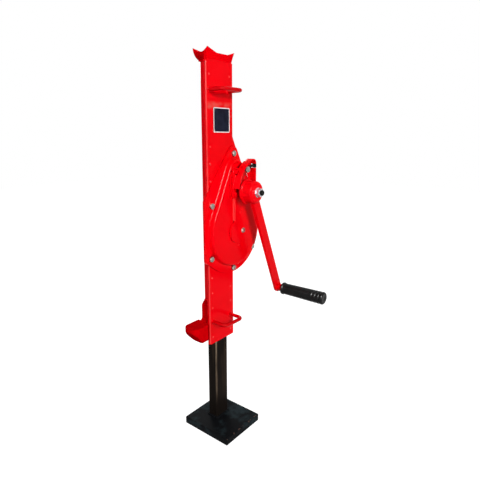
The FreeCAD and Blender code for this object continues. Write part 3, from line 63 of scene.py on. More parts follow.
def applyModifiers(obj):
    selectOnly(obj)
    for modifier in list(obj.modifiers):
        bpy.ops.object.modifier_apply(modifier=modifier.name)


def freezeTransform():
    bpy.ops.object.transform_apply(location=True, rotation=True, scale=True)


def joinPieces(name, parts):
    selectOnly(*parts)
    if len(parts) > 1:
        bpy.ops.object.join()
    obj = bpy.context.object
    obj.name = name
    freezeTransform()
    return obj


def finishPiece(obj, body, slotName, material, *replaced):
    obj.data.materials.clear()
    obj.data.materials.append(material)
    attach(obj, body)
    if replaced:
        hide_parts(*replaced)


def openWhole(obj):
    selectOnly(obj)
    bpy.ops.object.mode_set(mode="EDIT")
    bpy.ops.mesh.select_all(action="SELECT")


def closeMesh():
    bpy.ops.object.mode_set(mode="OBJECT")


def clearPicks(obj):
    selectOnly(obj)
    bpy.ops.object.mode_set(mode="EDIT")
    bpy.ops.mesh.select_all(action="DESELECT")
    bpy.ops.mesh.select_mode(type="FACE")
    closeMesh()


def pickFaces(obj, wanted):
    clearPicks(obj)
    for face in obj.data.polygons:
        face.select = wanted(face)
    bpy.ops.object.mode_set(mode="EDIT")


def softenEdges(obj, width, segments=2, angle=sharpAngle):
    bevel = obj.modifiers.new("soften", "BEVEL")
    bevel.width = width
    bevel.segments = segments
    bevel.limit_method = "ANGLE"
    bevel.angle_limit = angle
    applyModifiers(obj)


def smoothShading(obj, angle=smoothAngle):
    selectOnly(obj)
    bpy.ops.object.shade_smooth_by_angle(angle=angle)


def meltShape(obj, voxel, rounds):  # remeshed, then smoothed this many times
    melt = obj.modifiers.new("melt", "REMESH")
    melt.mode = "VOXEL"
    melt.voxel_size = voxel
    melt.use_smooth_shade = True
    settle = obj.modifiers.new("settle", "SMOOTH")
    settle.factor = 0.5
    settle.iterations = rounds
    applyModifiers(obj)


def copyTo(obj, place):
    twin = obj.copy()
    twin.data = obj.data.copy()
    twin.location = place
    bpy.context.collection.objects.link(twin)
    return twin


# measuring the CAD nodes

def boxCorners(box):
    return [Vector(corner) for corner in box]


def middleOf(low, high):
    return (low + high) / 2


def solidBoxes(node):  # box of each loose solid in a node, left to right
    copy = bpy.data.objects.new("measured", nodes[node].data.copy())
    bpy.context.collection.objects.link(copy)
    openWhole(copy)
    bpy.ops.mesh.remove_doubles(threshold=mergeGap)
    bpy.ops.mesh.separate(type="LOOSE")
    closeMesh()
    boxes = []
    for part in bpy.context.selected_objects:
        corners = [vertex.co for vertex in part.data.vertices]
        low = Vector([min(corner[axis] for corner in corners) for axis in range(3)])
        high = Vector([max(corner[axis] for corner in corners) for axis in range(3)])
        boxes.append((low, high))
    bpy.ops.object.delete()
    return sorted(boxes, key=lambda box: (box[0].x, box[0].z))


# material building blocks

def startMaterial(name):
    material = bpy.data.materials.new(name)
    material.use_nodes = True
    tree = material.node_tree
    shader = tree.nodes["Principled BSDF"]
    place = tree.nodes.new("ShaderNodeTexCoord").outputs["Object"]
    return material, tree, shader, place


def addNoise(tree, place, scale, detail=4.0, stretch=(1, 1, 1)):
    mapping = tree.nodes.new("ShaderNodeMapping")
    mapping.inputs["Scale"].default_value = stretch
    noise = tree.nodes.new("ShaderNodeTexNoise")
    noise.inputs["Scale"].default_value = scale
    noise.inputs["Detail"].default_value = detail
    tree.links.new(place, mapping.inputs["Vector"])
    tree.links.new(mapping.outputs["Vector"], noise.inputs["Vector"])
    return noise.outputs["Fac"]


def addRamp(tree, value, positions, colours):
    ramp = tree.nodes.new("ShaderNodeValToRGB")
    for element, position, colour in zip(ramp.color_ramp.elements, positions, colours):
        element.position = position
        element.color = (*colour, 1)
    tree.links.new(value, ramp.inputs["Fac"])
    return ramp.outputs["Color"]


def addRange(tree, value, fromLow, fromHigh, toLow=0.0, toHigh=1.0):
    node = tree.nodes.new("ShaderNodeMapRange")
    limits = {"From Min": fromLow, "From Max": fromHigh, "To Min": toLow, "To Max": toHigh}
    for key, number in limits.items():
        node.inputs[key].default_value = number
    tree.links.new(value, node.inputs["Value"])
    return node.outputs["Result"]


def addMath(tree, operation, first, second):
    node = tree.nodes.new("ShaderNodeMath")
    node.operation = operation
    for socket, value in zip(node.inputs, (first, second)):
        if isinstance(value, float):
            socket.default_value = value
        else:
            tree.links.new(value, socket)
    return node.outputs["Value"]


def addMix(tree, factor, first, second):
    node = tree.nodes.new("ShaderNodeMixRGB")
    tree.links.new(factor, node.inputs["Fac"])
    for key, value in (("Color1", first), ("Color2", second)):
        if isinstance(value, tuple):
            node.inputs[key].default_value = (*value, 1)
        else:
            tree.links.new(value, node.inputs[key])
    return node.outputs["Color"]


def addBump(tree, shader, height, strength, depth):
    bump = tree.nodes.new("ShaderNodeBump")
    bump.inputs["Strength"].default_value = strength
    bump.inputs["Distance"].default_value = depth
    tree.links.new(height, bump.inputs["Height"])
    tree.links.new(bump.outputs["Normal"], shader.inputs["Normal"])


def splitAxes(tree, vector):
    split = tree.nodes.new("ShaderNodeSeparateXYZ")
    tree.links.new(vector, split.inputs["Vector"])
    return split.outputs


def dressShader(tree, shader, colour, gloss, specular):
    tree.links.new(colour, shader.inputs["Base Color"])
    tree.links.new(gloss, shader.inputs["Roughness"])
    shader.inputs["Specular IOR Level"].default_value = specular


# finishes

redLook = {
    "thin": (0.86, 0.0, 0.003),
    "full": (0.97, 0.0, 0.005),
    "toneScale": 9.0,
    "toneStops": (0.3, 0.6),
    # painted shade: the dark red that creases and recesses are mixed towards; the pawl also
    # takes it as its dark tone
    "shadeAndDarkTone": (0.25, 0.0, 0.001),
    "paintedShadeReach": 10 * mm,
    "paintedShadeRamp": (0.25, 0.72, 0.88),  # painted shade by ambient occlusion: closed, open, darkest
    "paintedShadeSamples": 8,
    "peel": 0.04,
    "peelScale": 320.0,
    "peelDepth": 0.5 * mm,
    "gloss": (0.13, 0.20),
    "glossScale": 40.0,
    "specular": 0.03,
}
castLook = {  # the same paint on the forged claw, duller, its red painted darker as shade
    **redLook,
    "thin": (0.58, 0.0, 0.002),
    "full": (0.74, 0.0, 0.003),
    "paintedShadeRamp": (0.2, 0.6, 0.5),
    "peel": 0.10,
    "peelScale": 150.0,
    "gloss": (0.55, 0.70),
    "specular": 0.0,
    # painted shade: a darker red on the faces that look up
    "paintedLight": (0.46, 0.0, 0.002),
    "topShadeSlope": (0.1, 0.9),
    "topShadeScale": 45.0,
    "topShadePatches": (0.3, 0.5, 0.35, 1.0),
}
shadedRodLook = {  # the same paint on the handle rods, its red painted darker as shade
    **redLook,
    "thin": (0.56, 0.0, 0.002),
    "full": (0.74, 0.0, 0.003),
}
headLook = {  # forged head, the paint has lost its gloss; its red is painted a little darker as shade
    **redLook,
    "thin": (0.78, 0.0, 0.002),
    "full": (0.92, 0.0, 0.004),
    "specular": 0.0,
}
highlightLook = {  # painted highlight: a paler red for the seam, the pad's bends and the weld spots
    **redLook,
    "thin": (0.92, 0.02, 0.02),
    "full": (1.0, 0.05, 0.05),
    "paintedShadeRamp": (0.1, 0.4, 0.5),
}
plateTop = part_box("nameplate")[1][2]
plateLook = {  # paler band on the plate, just above the nameplate
    **redLook,
    "paleBand": (0.80, 0.10, 0.08),
    "paleBandSpan": (plateTop + 1 * mm, plateTop + 7 * mm),
    "paleBandFade": 7 * mm,
    "paleBandScale": 60.0,
    "paleBandPatches": (0.35, 0.62, 0.05, 0.85),
}


def redEnamel(name, look):
    material, tree, shader, place = startMaterial(name)
    tones = addNoise(tree, place, look["toneScale"])
    tone = addRamp(tree, tones, look["toneStops"], (look["thin"], look["full"]))
    # painted shade: ambient occlusion darkens creases, recesses and gaps between parts
    shade = tree.nodes.new("ShaderNodeAmbientOcclusion")
    shade.inputs["Distance"].default_value = look["paintedShadeReach"]
    shade.samples = look["paintedShadeSamples"]
    closed, opened, darkest = look["paintedShadeRamp"]
    dark = addRange(tree, shade.outputs["AO"], closed, opened, darkest, 0.0)
    colour = addMix(tree, dark, tone, look["shadeAndDarkTone"])
    if "paintedLight" in look:  # painted shade: faces that look up are painted darker, in noise patches
        normal = tree.nodes.new("ShaderNodeNewGeometry").outputs["Normal"]
        upward = addRange(tree, splitAxes(tree, normal)["Z"], *look["topShadeSlope"])
        patches = addNoise(tree, place, look["topShadeScale"])
        patches = addRange(tree, patches, *look["topShadePatches"])
        paintedLight = addMath(tree, "MULTIPLY", upward, patches)
        colour = addMix(tree, paintedLight, colour, look["paintedLight"])
    if "paleBand" in look:
        height = splitAxes(tree, place)["Z"]
        bottom, top = look["paleBandSpan"]
        fade = look["paleBandFade"]
        above = addRange(tree, height, bottom - fade, bottom)
        below = addRange(tree, height, top, top + fade, 1.0, 0.0)
        patches = addNoise(tree, place, look["paleBandScale"])
        patches = addRange(tree, patches, *look["paleBandPatches"])
        band = addMath(tree, "MULTIPLY", addMath(tree, "MULTIPLY", above, below), patches)
        colour = addMix(tree, band, colour, look["paleBand"])
    gloss = addNoise(tree, place, look["glossScale"])
    gloss = addRange(tree, gloss, *noiseSpan, *look["gloss"])
    dressShader(tree, shader, colour, gloss, look["specular"])
    peel = addNoise(tree, place, look["peelScale"], detail=2.0)
    addBump(tree, shader, peel, look["peel"], look["peelDepth"])
    return material


rackLook = {
    "black": (0.010, 0.0075, 0.0062),
    "brown": (0.056, 0.036, 0.025),
    "brownScale": 22.0,
    "brownPatches": (0.45, 0.65),
    # painted highlight colour of the front-left corner
    "paintedLight": (0.30, 0.22, 0.15),
    "highlightCorner": (-35.3 * mm, -33.6 * mm),  # painted highlight on the front-left corner: X plus Y, from the corner inward
    "brownAndHighlightHeight": (60 * mm, 180 * mm),
    "chipScale": 60.0,
    "chipPatches": (0.35, 0.55, 0.1, 1.0),
    "streak": (1.0, 1.0, 0.12),
    "grain": 0.12,
    "grainScale": 180.0,
    "grainDepth": 0.4 * mm,
    "gloss": (0.30, 0.50),
    "specular": 0.008,
}


def blackRack():
    material, tree, shader, place = startMaterial("blackRack")
    axes = splitAxes(tree, place)
    streak = rackLook["streak"]
    height = addRange(tree, axes["Z"], *rackLook["brownAndHighlightHeight"])
    patches = addNoise(tree, place, rackLook["brownScale"], detail=6.0, stretch=streak)
    brown = addRange(tree, patches, *rackLook["brownPatches"])
    brown = addMath(tree, "MULTIPLY", brown, height)
    colour = addMix(tree, brown, rackLook["black"], rackLook["brown"])
    # painted highlight: a tan line down the front-left corner, broken up by noise
    corner = addMath(tree, "ADD", axes["X"], axes["Y"])
    edge = addRange(tree, corner, *rackLook["highlightCorner"], 1.0, 0.0)
    edge = addMath(tree, "MULTIPLY", edge, height)
    chips = addNoise(tree, place, rackLook["chipScale"], detail=6.0, stretch=streak)
    chips = addRange(tree, chips, *rackLook["chipPatches"])
    edge = addMath(tree, "MULTIPLY", edge, chips)
    colour = addMix(tree, edge, colour, rackLook["paintedLight"])
    gloss = addRange(tree, patches, *noiseSpan, *rackLook["gloss"])
    dressShader(tree, shader, colour, gloss, rackLook["specular"])
    grain = addNoise(tree, place, rackLook["grainScale"], detail=3.0)
    addBump(tree, shader, grain, rackLook["grain"], rackLook["grainDepth"])
    return material


baseLook = {
    "black": (0.0055, 0.006, 0.007),
    "smudge": (0.020, 0.030, 0.034),
    "smudgeScale": 26.0,
    "smudgePatches": (0.5, 0.68),
    "chip": (0.12, 0.07, 0.055),
    "chipScale": 110.0,
    "chipPatches": (0.54, 0.62),
    "chipRim": 3.5 * mm,
    "grain": 0.12,
    "grainScale": 140.0,
    "grainDepth": 0.5 * mm,
    "gloss": (0.30, 0.55),
    "specular": 0.012,
}


def blackBase():
    material, tree, shader, place = startMaterial("blackBase")
    low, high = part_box("base_plate")
    axes = splitAxes(tree, place)
    smudges = addNoise(tree, place, baseLook["smudgeScale"], detail=6.0)
    smeared = addRange(tree, smudges, *baseLook["smudgePatches"])
    colour = addMix(tree, smeared, baseLook["black"], baseLook["smudge"])
    rise = addMath(tree, "SUBTRACT", axes["Z"], axes["Y"])
    top = high[2] - low[1]  # what rise is on the upper front edge
    rim = addRange(tree, rise, top - baseLook["chipRim"], top - baseLook["chipRim"] / 2)
    chips = addNoise(tree, place, baseLook["chipScale"], detail=5.0)
    chips = addRange(tree, chips, *baseLook["chipPatches"])
    colour = addMix(tree, addMath(tree, "MULTIPLY", rim, chips), colour, baseLook["chip"])
    gloss = addRange(tree, smudges, *noiseSpan, *baseLook["gloss"])
    dressShader(tree, shader, colour, gloss, baseLook["specular"])
    grain = addNoise(tree, place, baseLook["grainScale"], detail=3.0)
    addBump(tree, shader, grain, baseLook["grain"], baseLook["grainDepth"])
    return material


pawlLook = {
    "bare": (0.006, 0.006, 0.006),
    "paintEnds": (55 * mm, 60 * mm),
    "toneScale": 60.0,
    "gloss": (0.30, 0.45),
    "specular": 0.1,
}


def paintedPawl():  # painted with the housing, its tail left bare and oiled
    material, tree, shader, place = startMaterial("paintedPawl")
    tones = addNoise(tree, place, pawlLook["toneScale"])
    paint = addRamp(tree, tones, noiseSpan, (redLook["shadeAndDarkTone"], redLook["thin"]))
    bare = addRange(tree, splitAxes(tree, place)["X"], *pawlLook["paintEnds"])
    colour = addMix(tree, bare, paint, pawlLook["bare"])
    gloss = addRange(tree, tones, *noiseSpan, *pawlLook["gloss"])
    dressShader(tree, shader, colour, gloss, pawlLook["specular"])
    return material


metalLook = {  # light, dark, roughness from and to, grain scale, metallic, specular
    "zincPlate": ((0.42, 0.40, 0.36), (0.20, 0.19, 0.17), 0.20, 0.32, 90.0, 1.0, 0.5),
    "gearSteel": ((0.34, 0.34, 0.34), (0.18, 0.18, 0.19), 0.28, 0.45, 90.0, 1.0, 0.5),
    "brightZinc": ((0.62, 0.61, 0.64), (0.38, 0.37, 0.40), 0.20, 0.32, 90.0, 1.0, 0.5),
    "springSteel": ((0.85, 0.85, 0.84), (0.62, 0.62, 0.62), 0.15, 0.25, 90.0, 1.0, 0.5),
    "bronze": ((0.60, 0.40, 0.18), (0.42, 0.27, 0.11), 0.30, 0.50, 90.0, 1.0, 0.5),
    "frictionLining": ((0.06, 0.05, 0.045), (0.03, 0.026, 0.024), 0.70, 0.90, 90.0, 0.0, 0.2),
    "gripBlack": ((0.006, 0.006, 0.006), (0.003, 0.003, 0.003), 0.28, 0.36, 60.0, 0.0, 0.10),
    "oiledSteel": ((0.012, 0.011, 0.010), (0.005, 0.005, 0.005), 0.25, 0.40, 90.0, 0.0, 0.04),
    "plateBlue": ((0.012, 0.014, 0.030), (0.005, 0.006, 0.015), 0.30, 0.45, 50.0, 0.0, 0.04),
    "plateBorder": ((0.92, 0.85, 0.85), (0.78, 0.72, 0.72), 0.35, 0.50, 50.0, 0.0, 0.4),
}
metalGrain = {"stops": (0.35, 0.65), "finer": 4, "strength": 0.06, "depth": 0.3 * mm}


def plainFinish(name):
    light, dark, glossFrom, glossTo, scale, metallic, specular = metalLook[name]
    material, tree, shader, place = startMaterial(name)
    tones = addNoise(tree, place, scale)
    colour = addRamp(tree, tones, metalGrain["stops"], (dark, light))
    gloss = addRange(tree, tones, *noiseSpan, glossFrom, glossTo)
    dressShader(tree, shader, colour, gloss, specular)
    shader.inputs["Metallic"].default_value = metallic
    grain = addNoise(tree, place, scale * metalGrain["finer"], detail=2.0)
    addBump(tree, shader, grain, metalGrain["strength"], metalGrain["depth"])
    return material


red = redEnamel("redEnamel", redLook)
castRed = redEnamel("castRed", castLook)
shadedRodRed = redEnamel("shadedRodRed", shadedRodLook)
headRed = redEnamel("headRed", headLook)
highlightRed = redEnamel("highlightRed", highlightLook)
plateRed = redEnamel("plateRed", plateLook)
rackBlack = blackRack()
baseBlack = blackBase()
zinc = plainFinish("zincPlate")
brightZinc = plainFinish("brightZinc")
gearSteel = plainFinish("gearSteel")
springSteel = plainFinish("springSteel")
bronze = plainFinish("bronze")
frictionLining = plainFinish("frictionLining")
gripBlack = plainFinish("gripBlack")
oiledSteel = plainFinish("oiledSteel")
plateBlue = plainFinish("plateBlue")
plateBorder = plainFinish("plateBorder")
print("finishes made")


# the CAD nodes keep their shape and get a finish and broken edges

nodeFinish = {
    "black_steel": rackBlack,
    "red_paint": red,
    "zinc": zinc,
    "bronze": bronze,
    "gear_steel": gearSteel,
    "friction": frictionLining,
    "black_plastic": gripBlack,
    "dark_plate": plateBlue,
}
ownFinish = {
    "base_plate": baseBlack,
    "front_plate": plateRed,
    "jack_head": headRed,
    "upper_handle": shadedRodRed,
    "lower_handle": shadedRodRed,
    "pawl_spring": springSteel,
    "drive_pinion": oiledSteel,
    "pawl": paintedPawl(),
    "crank_washer": brightZinc,
    "ratchet_wheel": oiledSteel,
}
edgeWidth = {
    "front_plate": 0.8 * mm,
    "housing_channel": 0.5 * mm,
    "gear_case": 0.8 * mm,
    "rear_bearing_plate": 1.0 * mm,
    "ratchet_housing": 0.8 * mm,
    "crank_hub": 1.4 * mm,
    "crank_arm": 1.4 * mm,
    "jack_head": 0.4 * mm,
    "base_plate": 0.8 * mm,
    "rack": 0.5 * mm,
    "nameplate": 0.25 * mm,
    "pawl": 0.4 * mm,
    "ratchet_wheel": 0.3 * mm,
}
edgeShape = {"segments": 2, "sharp": math.radians(32), "flat": math.radians(0.5)}


def breakEdges(obj, width):
    weld = obj.modifiers.new("weld", "WELD")
    weld.merge_threshold = mergeGap
    flat = obj.modifiers.new("flat", "DECIMATE")
    flat.decimate_type = "DISSOLVE"
    flat.angle_limit = edgeShape["flat"]
    bevel = obj.modifiers.new("edges", "BEVEL")
    bevel.width = width
    bevel.segments = edgeShape["segments"]
    bevel.limit_method = "ANGLE"
    bevel.angle_limit = edgeShape["sharp"]
    bevel.use_clamp_overlap = False
    bevel.harden_normals = True


for name, obj in nodes.items():
    slotName = obj.material_slots[0].material.name
    obj.material_slots[0].material = ownFinish.get(name, nodeFinish[slotName.split(".")[0]])
    if name in edgeWidth:
        breakEdges(obj, edgeWidth[name])
print("nodes finished")


# hexagon heads and nuts, cut by a cone as a real one is

hexLook = {
    "crown": 0.475,  # radius of the flat top, as a part of the width across flats
    "slope": math.radians(30),
    "edge": 0.25 * mm,
    "edgeAngle": math.radians(25),
    "coneSides": 64,
    "coneOverrun": 1.0001,  # the cone stands a hair past both faces
}
barSides = 48


def cutWith(obj, cutter, operation):
    trim = obj.modifiers.new("trim", "BOOLEAN")
    trim.operation = operation
    trim.object = cutter
    applyModifiers(obj)
    selectOnly(cutter)
    bpy.ops.object.delete()


def hexHead(centre, flats, yBack, yFront, turn, bothEnds=False, hole=0.0):
    height = yBack - yFront
    middle = (centre.x, (yBack + yFront) / 2, centre.z)
    selectOnly()
    bpy.ops.mesh.primitive_cylinder_add(
        vertices=6, radius=flats / math.sqrt(3), depth=height, location=middle,
        rotation=(math.pi / 2, turn, 0))
    head = bpy.context.object
    crown = flats * hexLook["crown"]
    spread = height / math.tan(hexLook["slope"])
    for way in ((1, -1) if bothEnds else (1,)):
        bpy.ops.mesh.primitive_cone_add(
            vertices=hexLook["coneSides"], radius1=crown + spread, radius2=crown,
            depth=height * hexLook["coneOverrun"], location=middle,
            rotation=(way * math.pi / 2, 0, 0))
        cutWith(head, bpy.context.object, "INTERSECT")
    if hole:
        bpy.ops.mesh.primitive_cylinder_add(
            vertices=barSides, radius=hole, depth=height * 2, location=middle, rotation=alongY)
        cutWith(head, bpy.context.object, "DIFFERENCE")
    softenEdges(head, hexLook["edge"], 1, hexLook["edgeAngle"])
    return head


def roundBar(centre, radius, yBack, yFront, rim):
    selectOnly()
    bpy.ops.mesh.primitive_cylinder_add(
        vertices=barSides, radius=radius, depth=yBack - yFront, rotation=alongY,
        location=(centre.x, (yBack + yFront) / 2, centre.z))
    bar = bpy.context.object
    softenEdges(bar, rim)
    smoothShading(bar, sharpAngle)
    return bar


shankOverlap = 0.2 * mm  # how far a shank runs into its head


def hexBolt(box, look, turn):
    low, high = box
    centre = middleOf(low, high)
    seat = low.y + look["head"]
    head = hexHead(centre, look["flats"], seat, low.y, turn)
    shank = roundBar(centre, look["shank"], high.y, seat - shankOverlap, look["rim"])
    return [head, shank]


boltLook = {
    "flats": 13 * mm,
    "head": 5.5 * mm,
    "shank": 4 * mm,
    "rim": 0.4 * mm,
    "turns": (0.1, 0.62, 0.35, 0.9, 0.2, 0.5),
}


def coverBolts():
    parts = []
    for box, turn in zip(solidBoxes("cover_bolts"), boltLook["turns"]):
        parts += hexBolt(box, boltLook, turn)
    obj = joinPieces("coverBolts", parts)
    finishPiece(obj, "lift", "zinc", zinc, "cover_bolts")


def weldNuts():
    parts = []
    for low, high in solidBoxes("weld_nuts"):
        centre = middleOf(low, high)
        nut = hexHead(centre, boltLook["flats"], high.y, low.y, 0.0, True, boltLook["shank"])
        parts.append(nut)
    obj = joinPieces("weldNuts", parts)
    finishPiece(obj, "lift", "red_paint", red, "weld_nuts")


hoodBoltLook = {
    "flats": 10 * mm,
    "head": 4 * mm,
    "shank": 3 * mm,
    "rim": 0.3 * mm,
    "turns": (0.3, 0.75, 0.15, 0.5),
}


def hoodBolts():
    parts = []
    for box, turn in zip(solidBoxes("housing_bolts"), hoodBoltLook["turns"]):
        parts += hexBolt(box, hoodBoltLook, turn)
    obj = joinPieces("hoodBolts", parts)
    finishPiece(obj, "lift", "red_paint", red, "housing_bolts")


pawlBoltLook = {
    "flats": 14 * mm,
    "head": 5.6 * mm,
    "shank": 5 * mm,
    "rim": 0.3 * mm,
    "turn": 0.4,
}


def pawlBolt():
    parts = hexBolt(solidBoxes("pawl_bolt")[0], pawlBoltLook, pawlBoltLook["turn"])
    obj = joinPieces("pawlBolt", parts)
    finishPiece(obj, "lift", "zinc", zinc, "pawl_bolt")


plugLook = {
    "flats": 9 * mm,
    "turn": 0.25,
    "collar": 6.8 * mm,
    "collarHeight": 1.2 * mm,
    "rim": 0.3 * mm,
}


def greasePlug():
    low, high = solidBoxes("grease_plug")[0]
    centre = middleOf(low, high)
    head = hexHead(centre, plugLook["flats"], high.y, low.y, plugLook["turn"])
    front = high.y - plugLook["collarHeight"]
    collar = roundBar(centre, plugLook["collar"], high.y, front, plugLook["rim"])
    obj = joinPieces("greasePlug", [head, collar])
    finishPiece(obj, "lift", "zinc", zinc, "grease_plug")


crankNutLook = {"flats": 19 * mm, "turn": 0.22, "thread": 6 * mm}


def crankNut():
    low, high = solidBoxes("crank_nut")[0]
    nut = hexHead(
        middleOf(low, high), crankNutLook["flats"], high.y, low.y, crankNutLook["turn"], True,
        crankNutLook["thread"])
    obj = joinPieces("crankNut", [nut])
    finishPiece(obj, "crank", "zinc", brightZinc, "crank_nut")


shaftEndLook = {
    "radius": 6.25 * mm,
    "rim": 0.9 * mm,
    "proud": 0.2 * mm,
    "dimple": 2.2 * mm,
    "dimpleDepth": 1.6 * mm,
    "dimpleEnd": 0.2,  # width at the bottom, as a part of the mouth
    "ridges": 3,
    "ridge": 0.45,  # radius of a thread ridge, as a part of the pitch
    "firstRidge": 0.7,  # its place in front of the nut, in pitches
    "ridgeSides": 8,
}


def shaftEnd():  # threaded stub in front of the crank nut
    look = shaftEndLook
    nutLow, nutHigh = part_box("crank_nut")
    centre = middleOf(Vector(nutLow), Vector(nutHigh))
    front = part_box("drive_pinion")[0][1] - look["proud"]
    stub = roundBar(centre, look["radius"], nutLow[1], front, look["rim"])
    pickFaces(stub, lambda face: face.normal.z > facing)  # the bar still stands on its own Z
    bpy.ops.mesh.inset(thickness=look["radius"] - look["rim"] - look["dimple"])
    bpy.ops.mesh.extrude_region_move()
    bpy.ops.transform.translate(value=(0, look["dimpleDepth"], 0))
    bpy.ops.transform.resize(
        value=(look["dimpleEnd"], 1, look["dimpleEnd"]),
        center_override=(centre.x, front, centre.z))
    closeMesh()
    parts = [stub]
    pitch = (nutLow[1] - front) / (look["ridges"] + 1)
    for k in range(look["ridges"]):
        bpy.ops.mesh.primitive_torus_add(
            major_radius=look["radius"], minor_radius=pitch * look["ridge"],
            major_segments=barSides, minor_segments=look["ridgeSides"],
            location=(centre.x, nutLow[1] - pitch * (k + look["firstRidge"]), centre.z),
            rotation=alongY)
        parts.append(bpy.context.object)
    obj = joinPieces("shaftEnd", parts)
    finishPiece(obj, "crank", "gear_steel", oiledSteel)


tabLook = {
    "thick": 5 * mm,
    "below": 9 * mm,
    "above": 2.5 * mm,
    "sides": 2.2 * mm,
    "sunk": 0.1 * mm,
    "edge": 1.2 * mm,
}


def pawlTab():  # thumb tab on the end of the pawl's tail
    low, high = boxCorners(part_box("pawl"))
    thick, below, above = (tabLook[key] for key in ("thick", "below", "above"))
    selectOnly()
    bpy.ops.mesh.primitive_cube_add(size=1)
    tab = bpy.context.object
    tab.scale = (thick, high.y - low.y + 2 * tabLook["sides"], below + above)
    tab.location = (
        high.x - tabLook["sunk"] + thick / 2, (low.y + high.y) / 2, high.z + (above - below) / 2)
    freezeTransform()
    softenEdges(tab, tabLook["edge"], 3)
    smoothShading(tab)
    obj = joinPieces("pawlTab", [tab])
    finishPiece(obj, "pawl", "gear_steel", oiledSteel)


coverBolts()
weldNuts()
hoodBolts()
pawlBolt()
greasePlug()
crankNut()
shaftEnd()
pawlTab()
print("bolts made")


# the grip, a circle drawn out along its profile

gripLook = {
    "neck": 14.9 * mm,
    "bore": 6.1 * mm,
    "collar": 6 * mm,
    "collarRound": 1.2 * mm,
    "step": 2 * mm,
    "endRound": 4 * mm,
    "endSteps": 5,
    "grooves": (30 * mm, 20 * mm, 10 * mm),  # from the outer end
    "groove": 1.5 * mm,
    "floor": 0.2 * mm,
    "recess": 9 * mm,
    "edge": 0.3 * mm,
    "edgeAngle": math.radians(35),
    "sides": 64,
}


def gripStations(low, high):  # radius and Y of each ring, from the collar to the end and back
    capLow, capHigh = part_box("grip_cap")
    outer = (high.x - low.x) / 2
    capRadius = (capHigh[0] - capLow[0]) / 2
    bore, neck, deep, soft = (gripLook[key] for key in ("bore", "neck", "groove", "collarRound"))
    collarFront = high.y - gripLook["collar"]
    bodyBack = collarFront - gripLook["step"]
    stations = [
        (bore, high.y), (outer - soft, high.y), (outer, high.y - soft),
        (outer, collarFront + soft), (outer - soft, collarFront), (neck, bodyBack)]
    for place in gripLook["grooves"]:
        radius = outer + (neck - outer) * place / (bodyBack - low.y)
        for way in (1, -1):
            wall = [
                (radius, low.y + place + way * (deep + gripLook["floor"])),
                (radius - deep, low.y + place + way * gripLook["floor"])]
            stations += wall if way > 0 else reversed(wall)
    bend = gripLook["endRound"]
    for k in range(gripLook["endSteps"] + 1):
        angle = math.radians(90 * k / gripLook["endSteps"])
        radius = outer - bend + bend * math.cos(angle)
        stations.append((radius, low.y + bend - bend * math.sin(angle)))
    inner = low.y + gripLook["recess"]
    return stations + [(capRadius, low.y), (capRadius, inner), (bore, inner), (bore, high.y)]


def mouldedGrip():
    low, high = boxCorners(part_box("grip"))
    centre = middleOf(low, high)
    stations = gripStations(low, high)
    selectOnly()
    bpy.ops.mesh.primitive_circle_add(
        vertices=gripLook["sides"], radius=gripLook["bore"],
        location=(centre.x, high.y, centre.z), rotation=alongY)
    freezeTransform()
    body = bpy.context.object
    bpy.ops.object.mode_set(mode="EDIT")
    bpy.ops.mesh.select_mode(type="EDGE")
    bpy.ops.mesh.select_all(action="SELECT")
    for (lastRadius, lastY), (radius, y) in zip(stations, stations[1:]):
        scale = radius / lastRadius
        bpy.ops.mesh.extrude_region_move()
        bpy.ops.transform.translate(value=(0, y - lastY, 0))
        bpy.ops.transform.resize(
            value=(scale, 1, scale), center_override=(centre.x, y, centre.z))
    bpy.ops.mesh.select_all(action="SELECT")
    bpy.ops.mesh.remove_doubles(threshold=mergeGap)
    bpy.ops.mesh.normals_make_consistent(inside=False)
    closeMesh()
    softenEdges(body, gripLook["edge"], angle=gripLook["edgeAngle"])
    smoothShading(body)
    obj = joinPieces("mouldedGrip", [body])
    finishPiece(obj, "grip", "black_plastic", gripBlack, "grip")


mouldedGrip()
print("grip moulded")


# bend radius at the foot of the dome

footLook = {
    "dome": (89.5 * mm, 29.5 * mm),
    "top": (41 * mm, 688 * mm),
    "radius": 3.0 * mm,
    "draft": 0.4 * mm,
    "sunk": 0.12 * mm,
    "hollow": 0.12,  # profile of the bend, 0.5 would be a round edge
    "steps": 5,
    "skin": 0.8 * mm,
    "sides": 128,
    "flat": math.radians(0.2),
    "endArea": 100 * mm * mm,  # flat faces larger than this are the ends, left open
}


def hollowEdge(obj, wanted, radius):
    clearPicks(obj)
    points = obj.data.vertices
    for edge in obj.data.edges:
        edge.select = all(wanted(points[i].co) for i in edge.vertices)
    bpy.ops.object.mode_set(mode="EDIT")
    bpy.ops.mesh.select_mode(type="EDGE")
    bpy.ops.mesh.bevel(
        offset=radius, segments=footLook["steps"], profile=footLook["hollow"], affect="EDGES")
    closeMesh()


